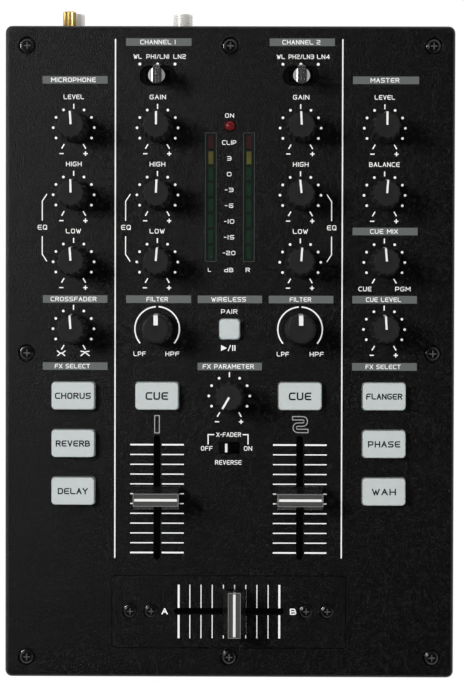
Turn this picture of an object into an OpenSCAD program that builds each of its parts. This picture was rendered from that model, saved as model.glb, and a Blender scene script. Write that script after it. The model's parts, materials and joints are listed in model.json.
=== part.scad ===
// Two-channel DJ mixer: millimetres, +X to the right, +Y to the rear, +Z up.
// The origin is at the middle of the bounding box, on the surface the feet stand on.
// Layout positions on the top are measured from the middle of the top cover.

/* [Case] */
// Height of the case without its feet
case_h = 62; // [58:1:80]
// Thickness of the steel sheet
sheet_t = 1.5; // [1.2:0.1:2]
// Radius of the case corners, seen from above
corner_r = 3; // [2.5:0.1:5]
// Radius of the bend along the top edges
bend_r = 2; // [1.6:0.1:2.4]
// Gap between the cover's walls and the tray
seam_gap = 0.4; // [0.2:0.1:1]
// Height of the cover's lip above the rear sheet
rear_lip_h = 8; // [5:1:9]
// How far the rear sheet is set in from the rear edge of the top
rear_inset = 2.5; // [2:0.1:5]
// How far the jack collars reach past the rear edge of the top
rear_reach = 9.4; // [6:0.1:14]
// How far the headphone collar reaches past the front edge
front_reach = 2; // [1:0.1:4]
// Height of the rubber feet
foot_h = 5; // [3:0.5:12]
// Diameter of the rubber feet
foot_d = 17; // [12:1:24]

/* [Columns] */
// Left edge of the case to the microphone column
left_margin = 30.8; // [28:0.1:45]
// Microphone column to the channel 1 column
mic_gap = 37.6; // [34:0.1:50]
// Channel 1 column to the middle column
channel_1_gap = 32.5; // [29:0.1:45]
// Middle column to the channel 2 column
channel_2_gap = 31.7; // [29:0.1:45]
// Channel 2 column to the master column
master_gap = 37.7; // [34:0.1:50]
// Master column to the right edge of the case
right_margin = 31.7; // [28:0.1:45]

/* [Rows] */
// Rear edge of the top to the first row of knobs
rear_margin = 45.85; // [42:0.05:60]
// Distance between rows of knobs
knob_pitch = 30.07; // [26:0.01:36]
// First row of knobs back to the source selectors
selector_gap = 23.45; // [20:0.05:26]
// First row of knobs back to the power light
power_led_gap = 0.85; // [0:0.05:5]
// Second row of knobs to the middle of the level meter
meter_gap = 0.95; // [-3:0.05:3]
// Last row of knobs to the first effect buttons, the cue buttons and the effect knob
effect_gap = 30.04; // [26:0.01:36]
// Distance between the effect buttons
effect_pitch = 21.4; // [19:0.1:26]
// Effect knob to the slide switch
reverse_gap = 23.4; // [20:0.1:28]
// Cue buttons to the middle of the channel faders
fader_gap = 45.8; // [44:0.1:60]
// Middle of the channel faders to the crossfader
cross_gap = 51.25; // [50:0.05:60]
// Crossfader to the front edge of the top
front_margin = 29.85; // [27:0.05:40]

/* [Knobs] */
// Height of the gap under a knob
knob_lift = 1; // [0.8:0.1:2]
// Height of a knob
knob_h = 14; // [12:0.5:16]
// Diameter of a knob at its foot
knob_d = 13.7; // [13:0.1:15]
// Diameter of a knob at its top
knob_top_d = 11.3; // [10:0.1:12.5]
// Diameter of a filter knob at its foot
filter_knob_d = 14.4; // [13:0.1:16]
// Diameter of a filter knob at its top
filter_top_d = 12.3; // [11:0.1:13]
// Number of flutes round a knob
flutes = 12; // [8:1:16]
// Diameter of the spindle
spindle_d = 6; // [5:0.5:6]

/* [Faders and switches] */
// Travel of a channel fader
channel_travel = 50; // [40:1:51]
// Travel of the crossfader
cross_travel = 45; // [40:1:45]
// Rest place of the crossfader, right of the middle of its slot
cross_rest = 2.5; // [-10:0.5:10]
// Length of a fader cap
cap_l = 21; // [18:0.5:23]
// Width of a fader cap at its foot
cap_w = 10.5; // [9:0.5:12]
// Height of a fader cap
cap_h = 11; // [9:0.5:14]
// Width of the ridge along a fader cap
ridge_w = 6.7; // [5:0.1:7]
// Width of a push button
button_w = 19.3; // [17:0.1:21]
// Depth of a push button
button_l = 12.3; // [11:0.1:14]
// Height of a push button above the top
button_rise = 2.6; // [1.5:0.1:4]
// Width and depth of the pairing button
pair_w = 9.1; // [8:0.1:10]
// Travel of the push buttons
button_travel = 1.2; // [0.8:0.1:1.2]
// Height of the toggle tip above the top
toggle_h = 12.5; // [10:0.5:15]
// Diameter of the toggle tip
toggle_d = 7.5; // [6:0.1:7.6]
// Travel of the slide switch
reverse_travel = 4; // [3:0.1:4.2]

/* [Sockets] */
// Depth of the phone jacks below the top
jack_drop = 30; // [28:0.5:32]
// Diameter of a phone jack's collar
collar_d = 8.7; // [8.4:0.1:9]
// Diameter of a phone jack's bore
jack_bore_d = 6.4; // [6.35:0.01:6.5]
// Depth of the ground terminal below the top
ground_drop = 15; // [14:0.5:16]
// Depth of the upper row of phono sockets below the top
phono_drop = 37; // [36:0.5:38]
// Distance between the two rows of phono sockets
phono_pitch = 14; // [13:0.5:14]
// Outer diameter of a phono sleeve
phono_d = 8.3; // [8:0.1:8.5]
// How far the phono sleeves reach past the rear edge of the top
phono_reach = 5; // [3:0.5:6]

/* [Hidden] */

$fn = 48;
touch = 0.01;           // how far joined pieces of one solid run into each other
slip = 0.3;             // gap round a piece that moves in an opening
spindle_slip = 0.05;    // gap round a spindle in its bushing

case_w = left_margin + mic_gap + channel_1_gap + channel_2_gap + master_gap + right_margin;
case_l = rear_margin + 3 * knob_pitch + effect_gap + fader_gap + cross_gap + front_margin;

mic_x = left_margin - case_w / 2;
ch1_x = mic_x + mic_gap;
mid_x = ch1_x + channel_1_gap;
ch2_x = mid_x + channel_2_gap;
master_x = ch2_x + master_gap;
first_row_y = case_l / 2 - rear_margin;
selector_y = first_row_y + selector_gap;
power_led_y = first_row_y + power_led_gap;
meter_y = knob_row(1) - meter_gap;
pair_y = knob_row(3);
effect_y = knob_row(3) - effect_gap;
reverse_y = effect_y - reverse_gap;
fader_y = effect_y - fader_gap;
cross_y = fader_y - cross_gap;

top_z = foot_h + case_h;
under_z = top_z - sheet_t;
panel_y = -(rear_reach - front_reach) / 2;
rear_face = case_l / 2 - rear_inset;
inner_w = case_w - 2 * sheet_t;

board_t = 1.6;
board_drop = 10;        // main board below the sheet of the top
board_top = under_z - board_drop;
board_side_gap = 16;    // main board to the sides of the case
board_rear = selector_y + 5;
board_front = fader_y - 31.5;
header_h = 5;           // cable header under the main board
tray_top = foot_h + sheet_t;
jack_board_rise = 3.5;
jack_board_top = tray_top + jack_board_rise;
jack_header_h = 6;
jack_board_side_gap = 13;
jack_board_front = case_l / 2 - 50.5;

dimple_d = 8.2;
dimple_h = 1.2;
pan_d = 6;              // M3 pan head
pan_h = 1.9;
m3_d = 3;
m3_hole_d = 3.4;
pillar_w = 5.5;         // across the flats
screw_inset_x = 9.8;    // cover screws to the sides of the case
screw_inset_y = 9.1;    // cover screws to the front and rear edges
screw_xs = [screw_inset_x - case_w / 2, 0, case_w / 2 - screw_inset_x];
screw_ys = [screw_inset_y - case_l / 2, -0.5, case_l / 2 - screw_inset_y];
panel_screws = [for (x = screw_xs, y = screw_ys) if (x != 0 || y != screw_ys[1]) [x, y]];

plate_gap = 0.3;
plate_x = mid_x - 0.1;
plate_y = cross_y - 0.2;
track_screw_x = 34.9;   // crossfader's own screws, each side of its middle
track_tab_end = 3.5;    // from those screws to the ends of its tabs
ledge_w = 2 * (track_screw_x + track_tab_end + 1.6);
plate_screw_x = ledge_w / 2 + 4.4;
plate_w = 2 * (plate_screw_x + 8);
plate_l = 32.3;
ledge_rim = 2.6;
ledge_l = plate_l - 8.3;
plate_screw_d = 5.4;
plate_screw_h = 1.5;
plate_dimple_d = 7.4;
plate_dimple_h = 0.6;
m25_d = 2.4;
m25_hole_d = 2.8;

cross_slot_l = cross_travel + 4.4;
channel_slot_l = channel_travel + 6;
slot_w = 3.1;
blade_l = 4;
blade_t = 1.2;
track_w = 9;
track_h = 8.5;
track_wall = 0.8;
carriage_l = 10;
carriage_h = 4.5;
channel_track_l = channel_travel + carriage_l + 4;
cross_track_l = cross_travel + carriage_l + 4;
cap_foot = 1;           // gap under a fader cap

// Flat cables and the headers at their ends
header_w = 24;
header_l = 6;
ribbon_t = 1;
ribbon_bend = 6;
step_y1 = jack_board_front + 7;
step_y0 = step_y1 - 40;
hook_y0 = board_front + 5;

pot_w = 10;
pot_l = 11;
pot_h = 7;
bushing_d = 7;
bushing_hole_d = 7.6;
bushing_top = top_z + 0.7;
spindle_depth = 8;

selector_w = 16.4;
selector_l = 9.2;
selector_tilt = 12;
toggle_pivot_z = top_z - 4.5;
toggle_ball_d = 4.4;
toggle_shank_d = 3.4;

meter_window_w = 5.6;
meter_window_l = 58.3;
meter_offset = 8.55;
segments = 8;
segment_pitch = 7.07;
segment_w = 2.3;
segment_l = 6.3;

reverse_w = 9.4;
reverse_l = 5.6;
reverse_knob_w = 4.8;

button_r = 1.8;
button_edge = 0.6;
flange_w = 1.1;
flange_t = 1.1;
post_d = 3.4;
tact_w = 6.2;
tact_h = 4.5;

// Sockets along the rear, each from its neighbour, and the ground terminal over the first
mic_jack_x = mic_x - 2.1;
ground_x = mic_jack_x - 1.2;
phono_gap = 14;
line_1_x = mic_jack_x + 20.3;
mono_jack_x = line_1_x + phono_gap + 15.8;
line_2_x = 12;
output_x = line_2_x + phono_gap + 18;
// Columns of phono sockets, from the channel 1 inputs to the master output
phono_xs = [line_1_x, line_1_x + phono_gap, line_2_x, line_2_x + phono_gap, output_x];
phono_block_w = 11;
phono_block_l = 12;
dc_x = output_x + 18;
dc_z = jack_board_top + 6;
rocker_w = 13;
rocker_h = 19;
rocker_rim = 1.6;
rocker_tilt = 8;
rocker_x = dc_x + 18.5;
rocker_z = foot_h + 30;
headphone_x = master_x;
headphone_drop = 36;

function knob_row(i) = first_row_y - i * knob_pitch;
function knob_spots() = concat(
    [for (x = [mic_x, ch1_x, ch2_x, master_x], i = [0:3]) [x, knob_row(i)]],
    [[mid_x, effect_y]]);
function effect_row(i) = effect_y - i * effect_pitch;
function button_spots() = concat(
    [for (x = [mic_x, master_x], i = [0:2]) [x, effect_row(i)]],
    [[ch1_x, effect_y], [ch2_x, effect_y]]);

// ---- shared shapes ----

// Shifts a piece from the middle of the top to the middle of the bounding box
module in_case() translate([0, panel_y, 0]) children();

module at_spots(spots, z = 0) for (p = spots) translate([p[0], p[1], z]) children();

module round_rect(w, l, r) {
    square([w - 2 * r, l], center = true);
    square([w, l - 2 * r], center = true);
    for (sx = [-1, 1], sy = [-1, 1])
        translate([sx * (w / 2 - r), sy * (l / 2 - r)]) circle(r);
}

module round_plate(w, l, h, r) linear_extrude(h) round_rect(w, l, r);

// A straight slot with round ends, w long over all
module slot_shape(w, l) {
    square([w - l, l], center = true);
    for (s = [-1, 1]) translate([s * (w - l) / 2, 0]) circle(d = l);
}

// A block with round corners in plan and a rounded upper edge
module soft_block(w, l, h, r, edge) {
    round_plate(w, l, h - edge, r);
    translate([0, 0, h - edge]) {
        round_plate(w - 2 * edge, l - 2 * edge, edge, max(r - edge, 0.01));
        for (s = [-1, 1]) {
            translate([0, s * (l / 2 - edge), 0]) rotate([0, 90, 0])
                cylinder(r = edge, h = w - 2 * r, center = true);
            translate([s * (w / 2 - edge), 0, 0]) rotate([90, 0, 0])
                cylinder(r = edge, h = l - 2 * r, center = true);
        }
        for (sx = [-1, 1], sy = [-1, 1])
            translate([sx * (w / 2 - r), sy * (l / 2 - r), 0])
                rotate_extrude() translate([r - edge, 0]) intersection() {
                    circle(edge);
                    square(edge);
                }
    }
}

// A pan-head screw with a cross recess, its head standing on z = 0
module cross_screw(head_d, head_h, shank_d, shank_l) {
    recess_w = head_d * 0.56;
    recess_t = head_d * 0.12;
    difference() {
        union() {
            cylinder(d = head_d, h = head_h * 0.65);
            translate([0, 0, head_h * 0.65])
                cylinder(d1 = head_d, d2 = head_d * 0.72, h = head_h * 0.35);
            translate([0, 0, -shank_l]) cylinder(d = shank_d, h = shank_l + touch);
        }
        for (a = [0, 90]) rotate(a) translate([0, 0, head_h])
            cube([recess_w, recess_t, head_h], center = true);
    }
}

// A control knob with its spindle, its pointer turned anticlockwise by turn degrees
module knob_at(x, y, turn = 0, foot_d = knob_d, crown_d = knob_top_d) {
    foot_z = top_z + knob_lift;
    flute_d = 2.4;
    flute_out = foot_d / 2 + 0.35;
    pointer_w = 1.2;
    pointer_l = crown_d / 2 - 0.2;
    in_case() translate([x, y, foot_z]) rotate(turn) {
        difference() {
            union() {
                cylinder(d1 = foot_d, d2 = crown_d, h = knob_h - 0.5);
                translate([0, 0, knob_h - 0.5]) cylinder(d1 = crown_d, d2 = crown_d - 1, h = 0.5);
            }
            for (i = [0 : flutes - 1]) rotate((i + 0.5) * 360 / flutes)
                translate([0, flute_out, -touch]) cylinder(d = flute_d, h = knob_h - 2);
            translate([-pointer_w / 2, crown_d / 2 - pointer_l, knob_h - 0.3])
                cube([pointer_w, pointer_l, 1]);
        }
        translate([0, 0, bushing_top - spindle_depth + 0.5 - foot_z])
            cylinder(d = spindle_d, h = knob_lift + spindle_depth);
    }
}

// A push button whose lower flange holds it under the top, and its plunger
module button_at(x, y, w = button_w, l = button_l) {
    skirt_z = under_z - flange_t - 0.1;
    in_case() translate([x, y, 0]) {
        translate([0, 0, skirt_z])
            soft_block(w, l, top_z + button_rise - skirt_z, button_r, button_edge);
        translate([0, 0, skirt_z]) round_plate(w + 2 * flange_w, l + 2 * flange_w, flange_t, button_r);
        translate([0, 0, board_top + 2.5])
            cylinder(d = post_d, h = skirt_z + touch - board_top - 2.5);
    }
}

// A fader cap with its blade and the carriage that runs in the track, across its travel
module fader_cap(track_top) {
    foot_z = top_z + cap_foot;
    wall = 1.3;
    hollow_h = 4.6;
    difference() {
        translate([0, cap_l / 2, foot_z]) rotate([90, 0, 0]) linear_extrude(cap_l)
            polygon([
                [-cap_w / 2, 0], [cap_w / 2, 0], [cap_w / 2, 1.2],
                [ridge_w / 2 + 0.5, cap_h * 0.62], [ridge_w / 2, cap_h * 0.7],
                [ridge_w / 2, cap_h - 0.5], [ridge_w / 2 - 0.5, cap_h],
                [0.5 - ridge_w / 2, cap_h], [-ridge_w / 2, cap_h - 0.5],
                [-ridge_w / 2, cap_h * 0.7], [-ridge_w / 2 - 0.5, cap_h * 0.62],
                [-cap_w / 2, 1.2]
            ]);
        translate([0, cap_l / 2 - wall, foot_z]) rotate([90, 0, 0]) linear_extrude(cap_l - 2 * wall)
            polygon([
                [wall - cap_w / 2, -1], [cap_w / 2 - wall, -1],
                [cap_w / 2 - wall, 0.8], [1.6, hollow_h], [-1.6, hollow_h], [wall - cap_w / 2, 0.8]
            ]);
    }
    translate([-3, -2.2, foot_z + 0.6]) cube([6, 4.4, hollow_h]);
    translate([-blade_l / 2, -blade_t / 2, track_top - track_wall - 2])
        cube([blade_l, blade_t, foot_z + hollow_h - track_top + track_wall + 2]);
    translate([-carriage_l / 2, -(track_w / 2 - track_wall - slip), track_top - track_wall - slip - carriage_h])
        cube([carriage_l, track_w - 2 * track_wall - 2 * slip, carriage_h]);
}

// A fader's steel track, open along its top
module fader_track(length, z0, z1) {
    difference() {
        translate([-length / 2 - track_wall, -track_w / 2, z0])
            cube([length + 2 * track_wall, track_w, z1 - z0]);
        translate([-length / 2, track_wall - track_w / 2, z0 + track_wall])
            cube([length, track_w - 2 * track_wall, z1 - z0 - 2 * track_wall]);
        translate([-length / 2, -blade_t / 2 - 0.5, z1 - track_wall - 1])
            cube([length, blade_t + 1, track_wall + 2]);
    }
}

// A chromed bat-handle lever, standing upright over its pivot
module toggle_at(x) {
    tip_z = top_z + toggle_h;
    crown_z = tip_z - toggle_d / 2;
    in_case() translate([x, selector_y, 0]) {
        translate([0, 0, crown_z]) sphere(d = toggle_d);
        translate([0, 0, crown_z - 1]) cylinder(d = toggle_d, h = 1);
        translate([0, 0, top_z + 2])
            cylinder(d1 = toggle_shank_d, d2 = toggle_d, h = crown_z - 1 - top_z - 2 + touch);
        translate([0, 0, toggle_pivot_z])
            cylinder(d = toggle_shank_d, h = top_z + 2 - toggle_pivot_z + touch);
        translate([0, 0, toggle_pivot_z]) sphere(d = toggle_ball_d);
    }
}

// ---- case ----

module top_cover() {
    inner_l = case_l - 2 * sheet_t;
    boss_d = dimple_d + 2 * sheet_t;
    color("#202022") in_case() difference() {
        union() {
            difference() {
                translate([0, 0, foot_h])
                    soft_block(case_w, case_l, case_h, corner_r, bend_r);
                translate([-inner_w / 2, -inner_l / 2, foot_h - 1])
                    cube([inner_w, inner_l, case_h - sheet_t + 1]);
                translate([-inner_w / 2, case_l / 2 - sheet_t - 1, foot_h - 1])
                    cube([inner_w, sheet_t + 2, case_h - rear_lip_h + 1]);
            }
            // bosses that the dimples press down, and the welded ledge of the crossfader plate
            at_spots(panel_screws, under_z - dimple_h) cylinder(d = boss_d, h = dimple_h + touch);
            translate([plate_x, plate_y, under_z - sheet_t]) difference() {
                round_plate(plate_w + 2 * (plate_gap + ledge_rim), plate_l + 2 * (plate_gap + ledge_rim),
                    sheet_t + touch, 2);
                translate([-ledge_w / 2, -ledge_l / 2, -1]) cube([ledge_w, ledge_l, sheet_t + 2]);
            }
            // stand-offs that carry the main board
            at_spots(board_spots(), board_top) cylinder(d = pillar_w, h = under_z - board_top + touch);
        }
        at_spots(panel_screws, top_z - dimple_h) cylinder(d = dimple_d, h = dimple_h + 1);
        at_spots(panel_screws, under_z - dimple_h - 1) cylinder(d = m3_hole_d, h = sheet_t + 2);
        translate([plate_x, plate_y, under_z])
            round_plate(plate_w + 2 * plate_gap, plate_l + 2 * plate_gap, sheet_t + 1, 1);
        for (s = [-1, 1]) translate([plate_x + s * plate_screw_x, cross_y, under_z - sheet_t - 1])
            cylinder(d = m25_hole_d, h = sheet_t + 2);
        at_spots(board_spots(), board_top - 1) cylinder(d = m3_d, h = board_drop - 1);
        at_spots(knob_spots(), under_z - 1) cylinder(d = bushing_hole_d, h = sheet_t + 2);
        at_spots([[ch1_x, selector_y], [ch2_x, selector_y]], under_z - 1)
            linear_extrude(sheet_t + 2) slot_shape(selector_w, selector_l);
        at_spots(button_spots(), under_z - 1)
            round_plate(button_w + 2 * slip, button_l + 2 * slip, sheet_t + 2, button_r);
        translate([mid_x, pair_y, under_z - 1])
            round_plate(pair_w + 2 * slip, pair_w + 2 * slip, sheet_t + 2, button_r);
        for (s = [-1, 1]) translate([mid_x + s * meter_offset, meter_y, under_z - 1])
            round_plate(meter_window_w, meter_window_l, sheet_t + 2, 0.5);
        translate([mid_x, power_led_y, under_z - 1]) cylinder(d = 5.4, h = sheet_t + 2);
        at_spots([[ch1_x, fader_y], [ch2_x, fader_y]], under_z - 1) rotate(90)
            linear_extrude(sheet_t + 2) slot_shape(channel_slot_l, slot_w);
        translate([mid_x, reverse_y, under_z - 1])
            round_plate(reverse_w, reverse_l, sheet_t + 2, 0.5);
        translate([headphone_x, 1 - case_l / 2 + sheet_t, top_z - headphone_drop]) rotate([90, 0, 0])
            cylinder(d = collar_d + 0.6, h = sheet_t + 2);
    }
}

// Stand-offs between the columns, clear of the controls
function board_spots() = [for (x = [mic_x + mic_gap / 2, master_x - master_gap / 2],
    y = [board_rear - 7, knob_row(3) - 10.4, board_front + 5]) [x, y]];

module bottom_tray() {
    floor_w = inner_w - 2 * seam_gap;
    front_y = sheet_t + seam_gap - case_l / 2;
    flange_h = 12;
    pillar_top = under_z - dimple_h - 0.05;
    color("#26262a") in_case() difference() {
        union() {
            translate([-floor_w / 2, front_y, foot_h])
                cube([floor_w, rear_face - front_y, sheet_t]);
            translate([-floor_w / 2, rear_face - sheet_t, foot_h])
                cube([floor_w, sheet_t, under_z - seam_gap - foot_h]);
            for (s = [-1, 1]) translate([(s * (floor_w - sheet_t) - sheet_t) / 2, front_y, foot_h])
                cube([sheet_t, rear_face - front_y, flange_h]);
            translate([-floor_w / 2, front_y, foot_h]) cube([floor_w, sheet_t, flange_h]);
            at_spots(panel_screws, foot_h)
                cylinder(d = pillar_w / cos(30), h = pillar_top - foot_h, $fn = 6);
            at_spots(jack_board_spots(), foot_h)
                cylinder(d = pillar_w, h = jack_board_top - board_t - foot_h);
        }
        at_spots(panel_screws, pillar_top - 12) cylinder(d = m3_d, h = 13);
        for (x = [mic_jack_x, mono_jack_x]) rear_hole(x, top_z - jack_drop, collar_d + 0.6);
        for (x = phono_xs, i = [0, 1])
            rear_hole(x, top_z - phono_drop - i * phono_pitch, phono_d + 0.6);
        rear_hole(ground_x, top_z - ground_drop, 4.4);
        rear_hole(dc_x, dc_z, 8.4);
        translate([rocker_x - rocker_w / 2 - 0.1, rear_face - sheet_t - 1, rocker_z - rocker_h / 2 - 0.1])
            cube([rocker_w + 0.2, sheet_t + 2, rocker_h + 0.2]);
    }
}

function jack_board_spots() = [for (s = [-1, 1], y = [8, 30])
    [s * (case_w / 2 - jack_board_side_gap - 4), jack_board_front + y]];

module rear_hole(x, z, d) translate([x, rear_face + 1, z]) rotate([90, 0, 0])
    cylinder(d = d, h = sheet_t + 2);

module cover_screws() {
    color("#111111") in_case() at_spots(panel_screws, top_z - dimple_h)
        cross_screw(pan_d, pan_h, m3_d - 0.1, 8);
}

module feet() {
    foot_x = case_w / 2 - 21;
    foot_y = case_l / 2 - 24.5;
    color("#1a1a1a") in_case() for (sx = [-1, 1], sy = [-1, 1])
        translate([sx * foot_x, sy * foot_y, 0]) {
            cylinder(d1 = foot_d - 1.5, d2 = foot_d, h = 1.5);
            translate([0, 0, 1.5]) cylinder(d = foot_d, h = foot_h - 1.5);
        }
}

module crossfader_plate() {
    color("#202022") in_case() difference() {
        translate([plate_x, plate_y, under_z]) round_plate(plate_w, plate_l, sheet_t, 0.8);
        translate([mid_x, cross_y, under_z - 1])
            linear_extrude(sheet_t + 2) slot_shape(cross_slot_l, slot_w);
        for (s = [-1, 1], x = [plate_screw_x, track_screw_x])
            translate([plate_x + s * x, cross_y, 0]) {
                translate([0, 0, top_z - plate_dimple_h]) cylinder(d = plate_dimple_d, h = 2);
                translate([0, 0, under_z - 1]) cylinder(d = m25_hole_d, h = 4);
            }
    }
}

module crossfader_plate_screws() {
    color("#111111") in_case() for (s = [-1, 1], x = [plate_screw_x, track_screw_x])
        translate([plate_x + s * x, cross_y, top_z - plate_dimple_h])
            cross_screw(plate_screw_d, plate_screw_h, m25_d, x == track_screw_x ? 4 : 3.5);
}

// ---- boards and what they carry ----

module main_board() {
    board_w = case_w - 2 * board_side_gap;
    chip_w = 12;
    chip_h = 2;
    color("#1f5a35") in_case() difference() {
        union() {
            translate([-board_w / 2, board_front, board_top - board_t])
                cube([board_w, board_rear - board_front, board_t]);
            translate([-header_w / 2, step_y0 - header_l / 2, board_top - board_t - header_h])
                cube([header_w, header_l, header_h + touch]);
            translate([-header_w / 4, hook_y0 - header_l / 2, board_top - board_t - header_h])
                cube([header_w / 2, header_l, header_h + touch]);
            for (i = [-1 : 1]) translate([i * mic_gap - chip_w / 2, effect_y - chip_w / 2,
                    board_top - board_t - chip_h])
                cube([chip_w, chip_w, chip_h + touch]);
        }
        at_spots(board_spots(), board_top - board_t - 1) cylinder(d = m3_hole_d, h = board_t + 2);
    }
}

module board_screws() {
    color("silver") in_case() at_spots(board_spots(), board_top - board_t) mirror([0, 0, 1])
        cross_screw(pan_d, pan_h, m3_d - 0.1, 6);
}

module rotary_pots() {
    color("#3c3c3c") in_case() at_spots(knob_spots(), board_top) difference() {
        union() {
            translate([-pot_w / 2, -pot_l / 2, 0]) cube([pot_w, pot_l, pot_h]);
            cylinder(d = bushing_d, h = bushing_top - board_top);
        }
        translate([0, 0, bushing_top - spindle_depth - board_top])
            cylinder(d = spindle_d + 2 * spindle_slip, h = spindle_depth + 1);
    }
}

module channel_fader_tracks() {
    color("silver") in_case() at_spots([[ch1_x, fader_y], [ch2_x, fader_y]]) rotate(90)
        fader_track(channel_track_l, board_top, board_top + track_h);
}

module crossfader_track() {
    tab_w = 6;
    tab_l = 2 * (track_screw_x + track_tab_end);
    tab_t = 1.5;
    color("silver") in_case() translate([plate_x, cross_y, 0]) difference() {
        union() {
            fader_track(cross_track_l, under_z - 0.1 - track_h, under_z - 0.1);
            for (s = [-1, 1]) translate([s * (cross_track_l / 2 + tab_l / 2) / 2, 0, under_z - 0.1 - tab_t / 2])
                cube([tab_l / 2 - cross_track_l / 2, tab_w, tab_t], center = true);
        }
        for (s = [-1, 1]) translate([s * track_screw_x, 0, under_z - tab_t - 1])
            cylinder(d = m25_hole_d, h = tab_t + 2);
    }
}

module toggle_switches() {
    body_w = 13;
    body_l = 8;
    bezel_z = under_z - 1.1;
    pocket_w = 10.6;
    pocket_l = 5;
    color("#101010") in_case() at_spots([[ch1_x, selector_y], [ch2_x, selector_y]]) difference() {
        union() {
            translate([-body_w / 2, -body_l / 2, board_top]) cube([body_w, body_l, bezel_z - board_top]);
            translate([0, 0, bezel_z]) linear_extrude(1) slot_shape(selector_w + 2, selector_l + 2);
        }
        translate([-pocket_w / 2, -pocket_l / 2, board_top + 3.5]) cube([pocket_w, pocket_l, 8]);
    }
}

module tact_switches() {
    color("#303030") in_case() at_spots(concat(button_spots(), [[mid_x, pair_y]]), board_top)
        difference() {
            translate([-tact_w / 2, -tact_w / 2, 0]) cube([tact_w, tact_w, tact_h]);
            translate([0, 0, 1]) cylinder(d = post_d + 0.4, h = tact_h);
        }
}

module slide_switch_body() {
    body_w = 13;
    body_l = 7;
    body_h = 7;
    color("silver") in_case() translate([mid_x, reverse_y, board_top]) difference() {
        translate([-body_w / 2, -body_l / 2, 0]) cube([body_w, body_l, body_h]);
        translate([-reverse_w / 2, -(reverse_l - 1) / 2, 2]) cube([reverse_w, reverse_l - 1, body_h]);
    }
}

module meter_windows() {
    play = 0.1;
    color("#8c9a90", 0.6) in_case() for (s = [-1, 1])
        translate([mid_x + s * meter_offset, meter_y, 0]) {
            translate([0, 0, under_z]) round_plate(meter_window_w - 2 * play, meter_window_l - 2 * play,
                sheet_t - 0.1, 0.5);
            translate([0, 0, under_z - 1.2]) round_plate(meter_window_w + 3, meter_window_l + 3,
                1.2 - 0.01, 0.5);
        }
}

module indicator_leds() {
    led_d = 5;
    dome_z = top_z - 0.6;
    color("firebrick") in_case() {
        for (s = [-1, 1], i = [0 : segments - 1])
            translate([mid_x + s * meter_offset - segment_w / 2,
                    meter_y + (i - (segments - 1) / 2) * segment_pitch - segment_l / 2, board_top])
                cube([segment_w, segment_l, under_z - 1.3 - board_top]);
        translate([mid_x, power_led_y, 0]) {
            translate([0, 0, board_top]) cylinder(d = led_d + 1, h = 6);
            translate([0, 0, board_top]) cylinder(d = led_d, h = dome_z - board_top);
            translate([0, 0, dome_z]) sphere(d = led_d);
        }
    }
}

module wireless_module() {
    card = [26, 18, 1];
    can = [17, 14, 2.5];
    color("silver") in_case() translate([ch2_x, first_row_y, board_top - board_t]) {
        translate([-card[0] / 2, -card[1] / 2, -card[2]]) cube(card);
        translate([2 - card[0] / 2, -can[1] / 2, -card[2] - can[2]])
            cube([can[0], can[1], can[2] + touch]);
    }
}

// ---- rear and front sockets ----

module ground_post() {
    flange_d = 6.6;
    color("gold") in_case() translate([ground_x, rear_face, top_z - ground_drop]) rotate([-90, 0, 0]) {
        cylinder(d = flange_d, h = 1.5);
        translate([0, 0, -6]) cylinder(d = 4, h = 6 + rear_inset + rear_reach - 1.1);
        translate([0, 0, -sheet_t - 2.4]) rotate(30) cylinder(d = 8, h = 2.4, $fn = 6);
    }
}

module ground_nut() {
    nut_d = 6.8;
    nut_l = 7;
    ribs = 20;
    color("gold") in_case() translate([ground_x, rear_face + rear_inset, top_z - ground_drop])
        rotate([-90, 0, 0]) difference() {
            cylinder(d = nut_d, h = nut_l);
            translate([0, 0, -1]) cylinder(d = 4.1, h = nut_l + 2);
            for (i = [0 : ribs - 1]) rotate(i * 360 / ribs) translate([nut_d / 2 + 0.1, 0, -1])
                cylinder(d = 0.7, h = nut_l + 2);
        }
}

// A phone jack with its threaded collar along +Y, its bore open at the collar's end
module phone_jack(reach) {
    body_w = 11;
    body_h = 13;
    body_l = 26;
    plug_l = 30;
    rotate([-90, 0, 0]) difference() {
        union() {
            translate([-body_w / 2, -body_h / 2, -sheet_t - body_l]) cube([body_w, body_h, body_l]);
            translate([0, 0, -sheet_t - touch]) cylinder(d = collar_d, h = sheet_t + reach + touch);
        }
        translate([0, 0, reach - plug_l]) cylinder(d = jack_bore_d, h = plug_l + 1);
    }
}

module phone_jacks() {
    color("#b9b4a8") in_case() {
        for (x = [mic_jack_x, mono_jack_x]) translate([x, rear_face, top_z - jack_drop])
            phone_jack(rear_inset + rear_reach);
        translate([headphone_x, -case_l / 2, top_z - headphone_drop]) rotate(180)
            phone_jack(front_reach);
    }
}

module jack_nuts() {
    nut_w = 11;
    rear_nut_h = 2.2;
    front_nut_h = 1.6;
    color("#c4c0b4") in_case() {
        for (x = [mic_jack_x, mono_jack_x]) translate([x, rear_face, top_z - jack_drop])
            rotate([-90, 0, 0]) hex_nut(nut_w, rear_nut_h);
        translate([headphone_x, -case_l / 2, top_z - headphone_drop]) rotate([90, 0, 0])
            hex_nut(nut_w, front_nut_h);
    }
}

module hex_nut(across, h) difference() {
    cylinder(d = across / cos(30), h = h, $fn = 6);
    translate([0, 0, -1]) cylinder(d = collar_d + 0.1, h = h + 2);
}

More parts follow.
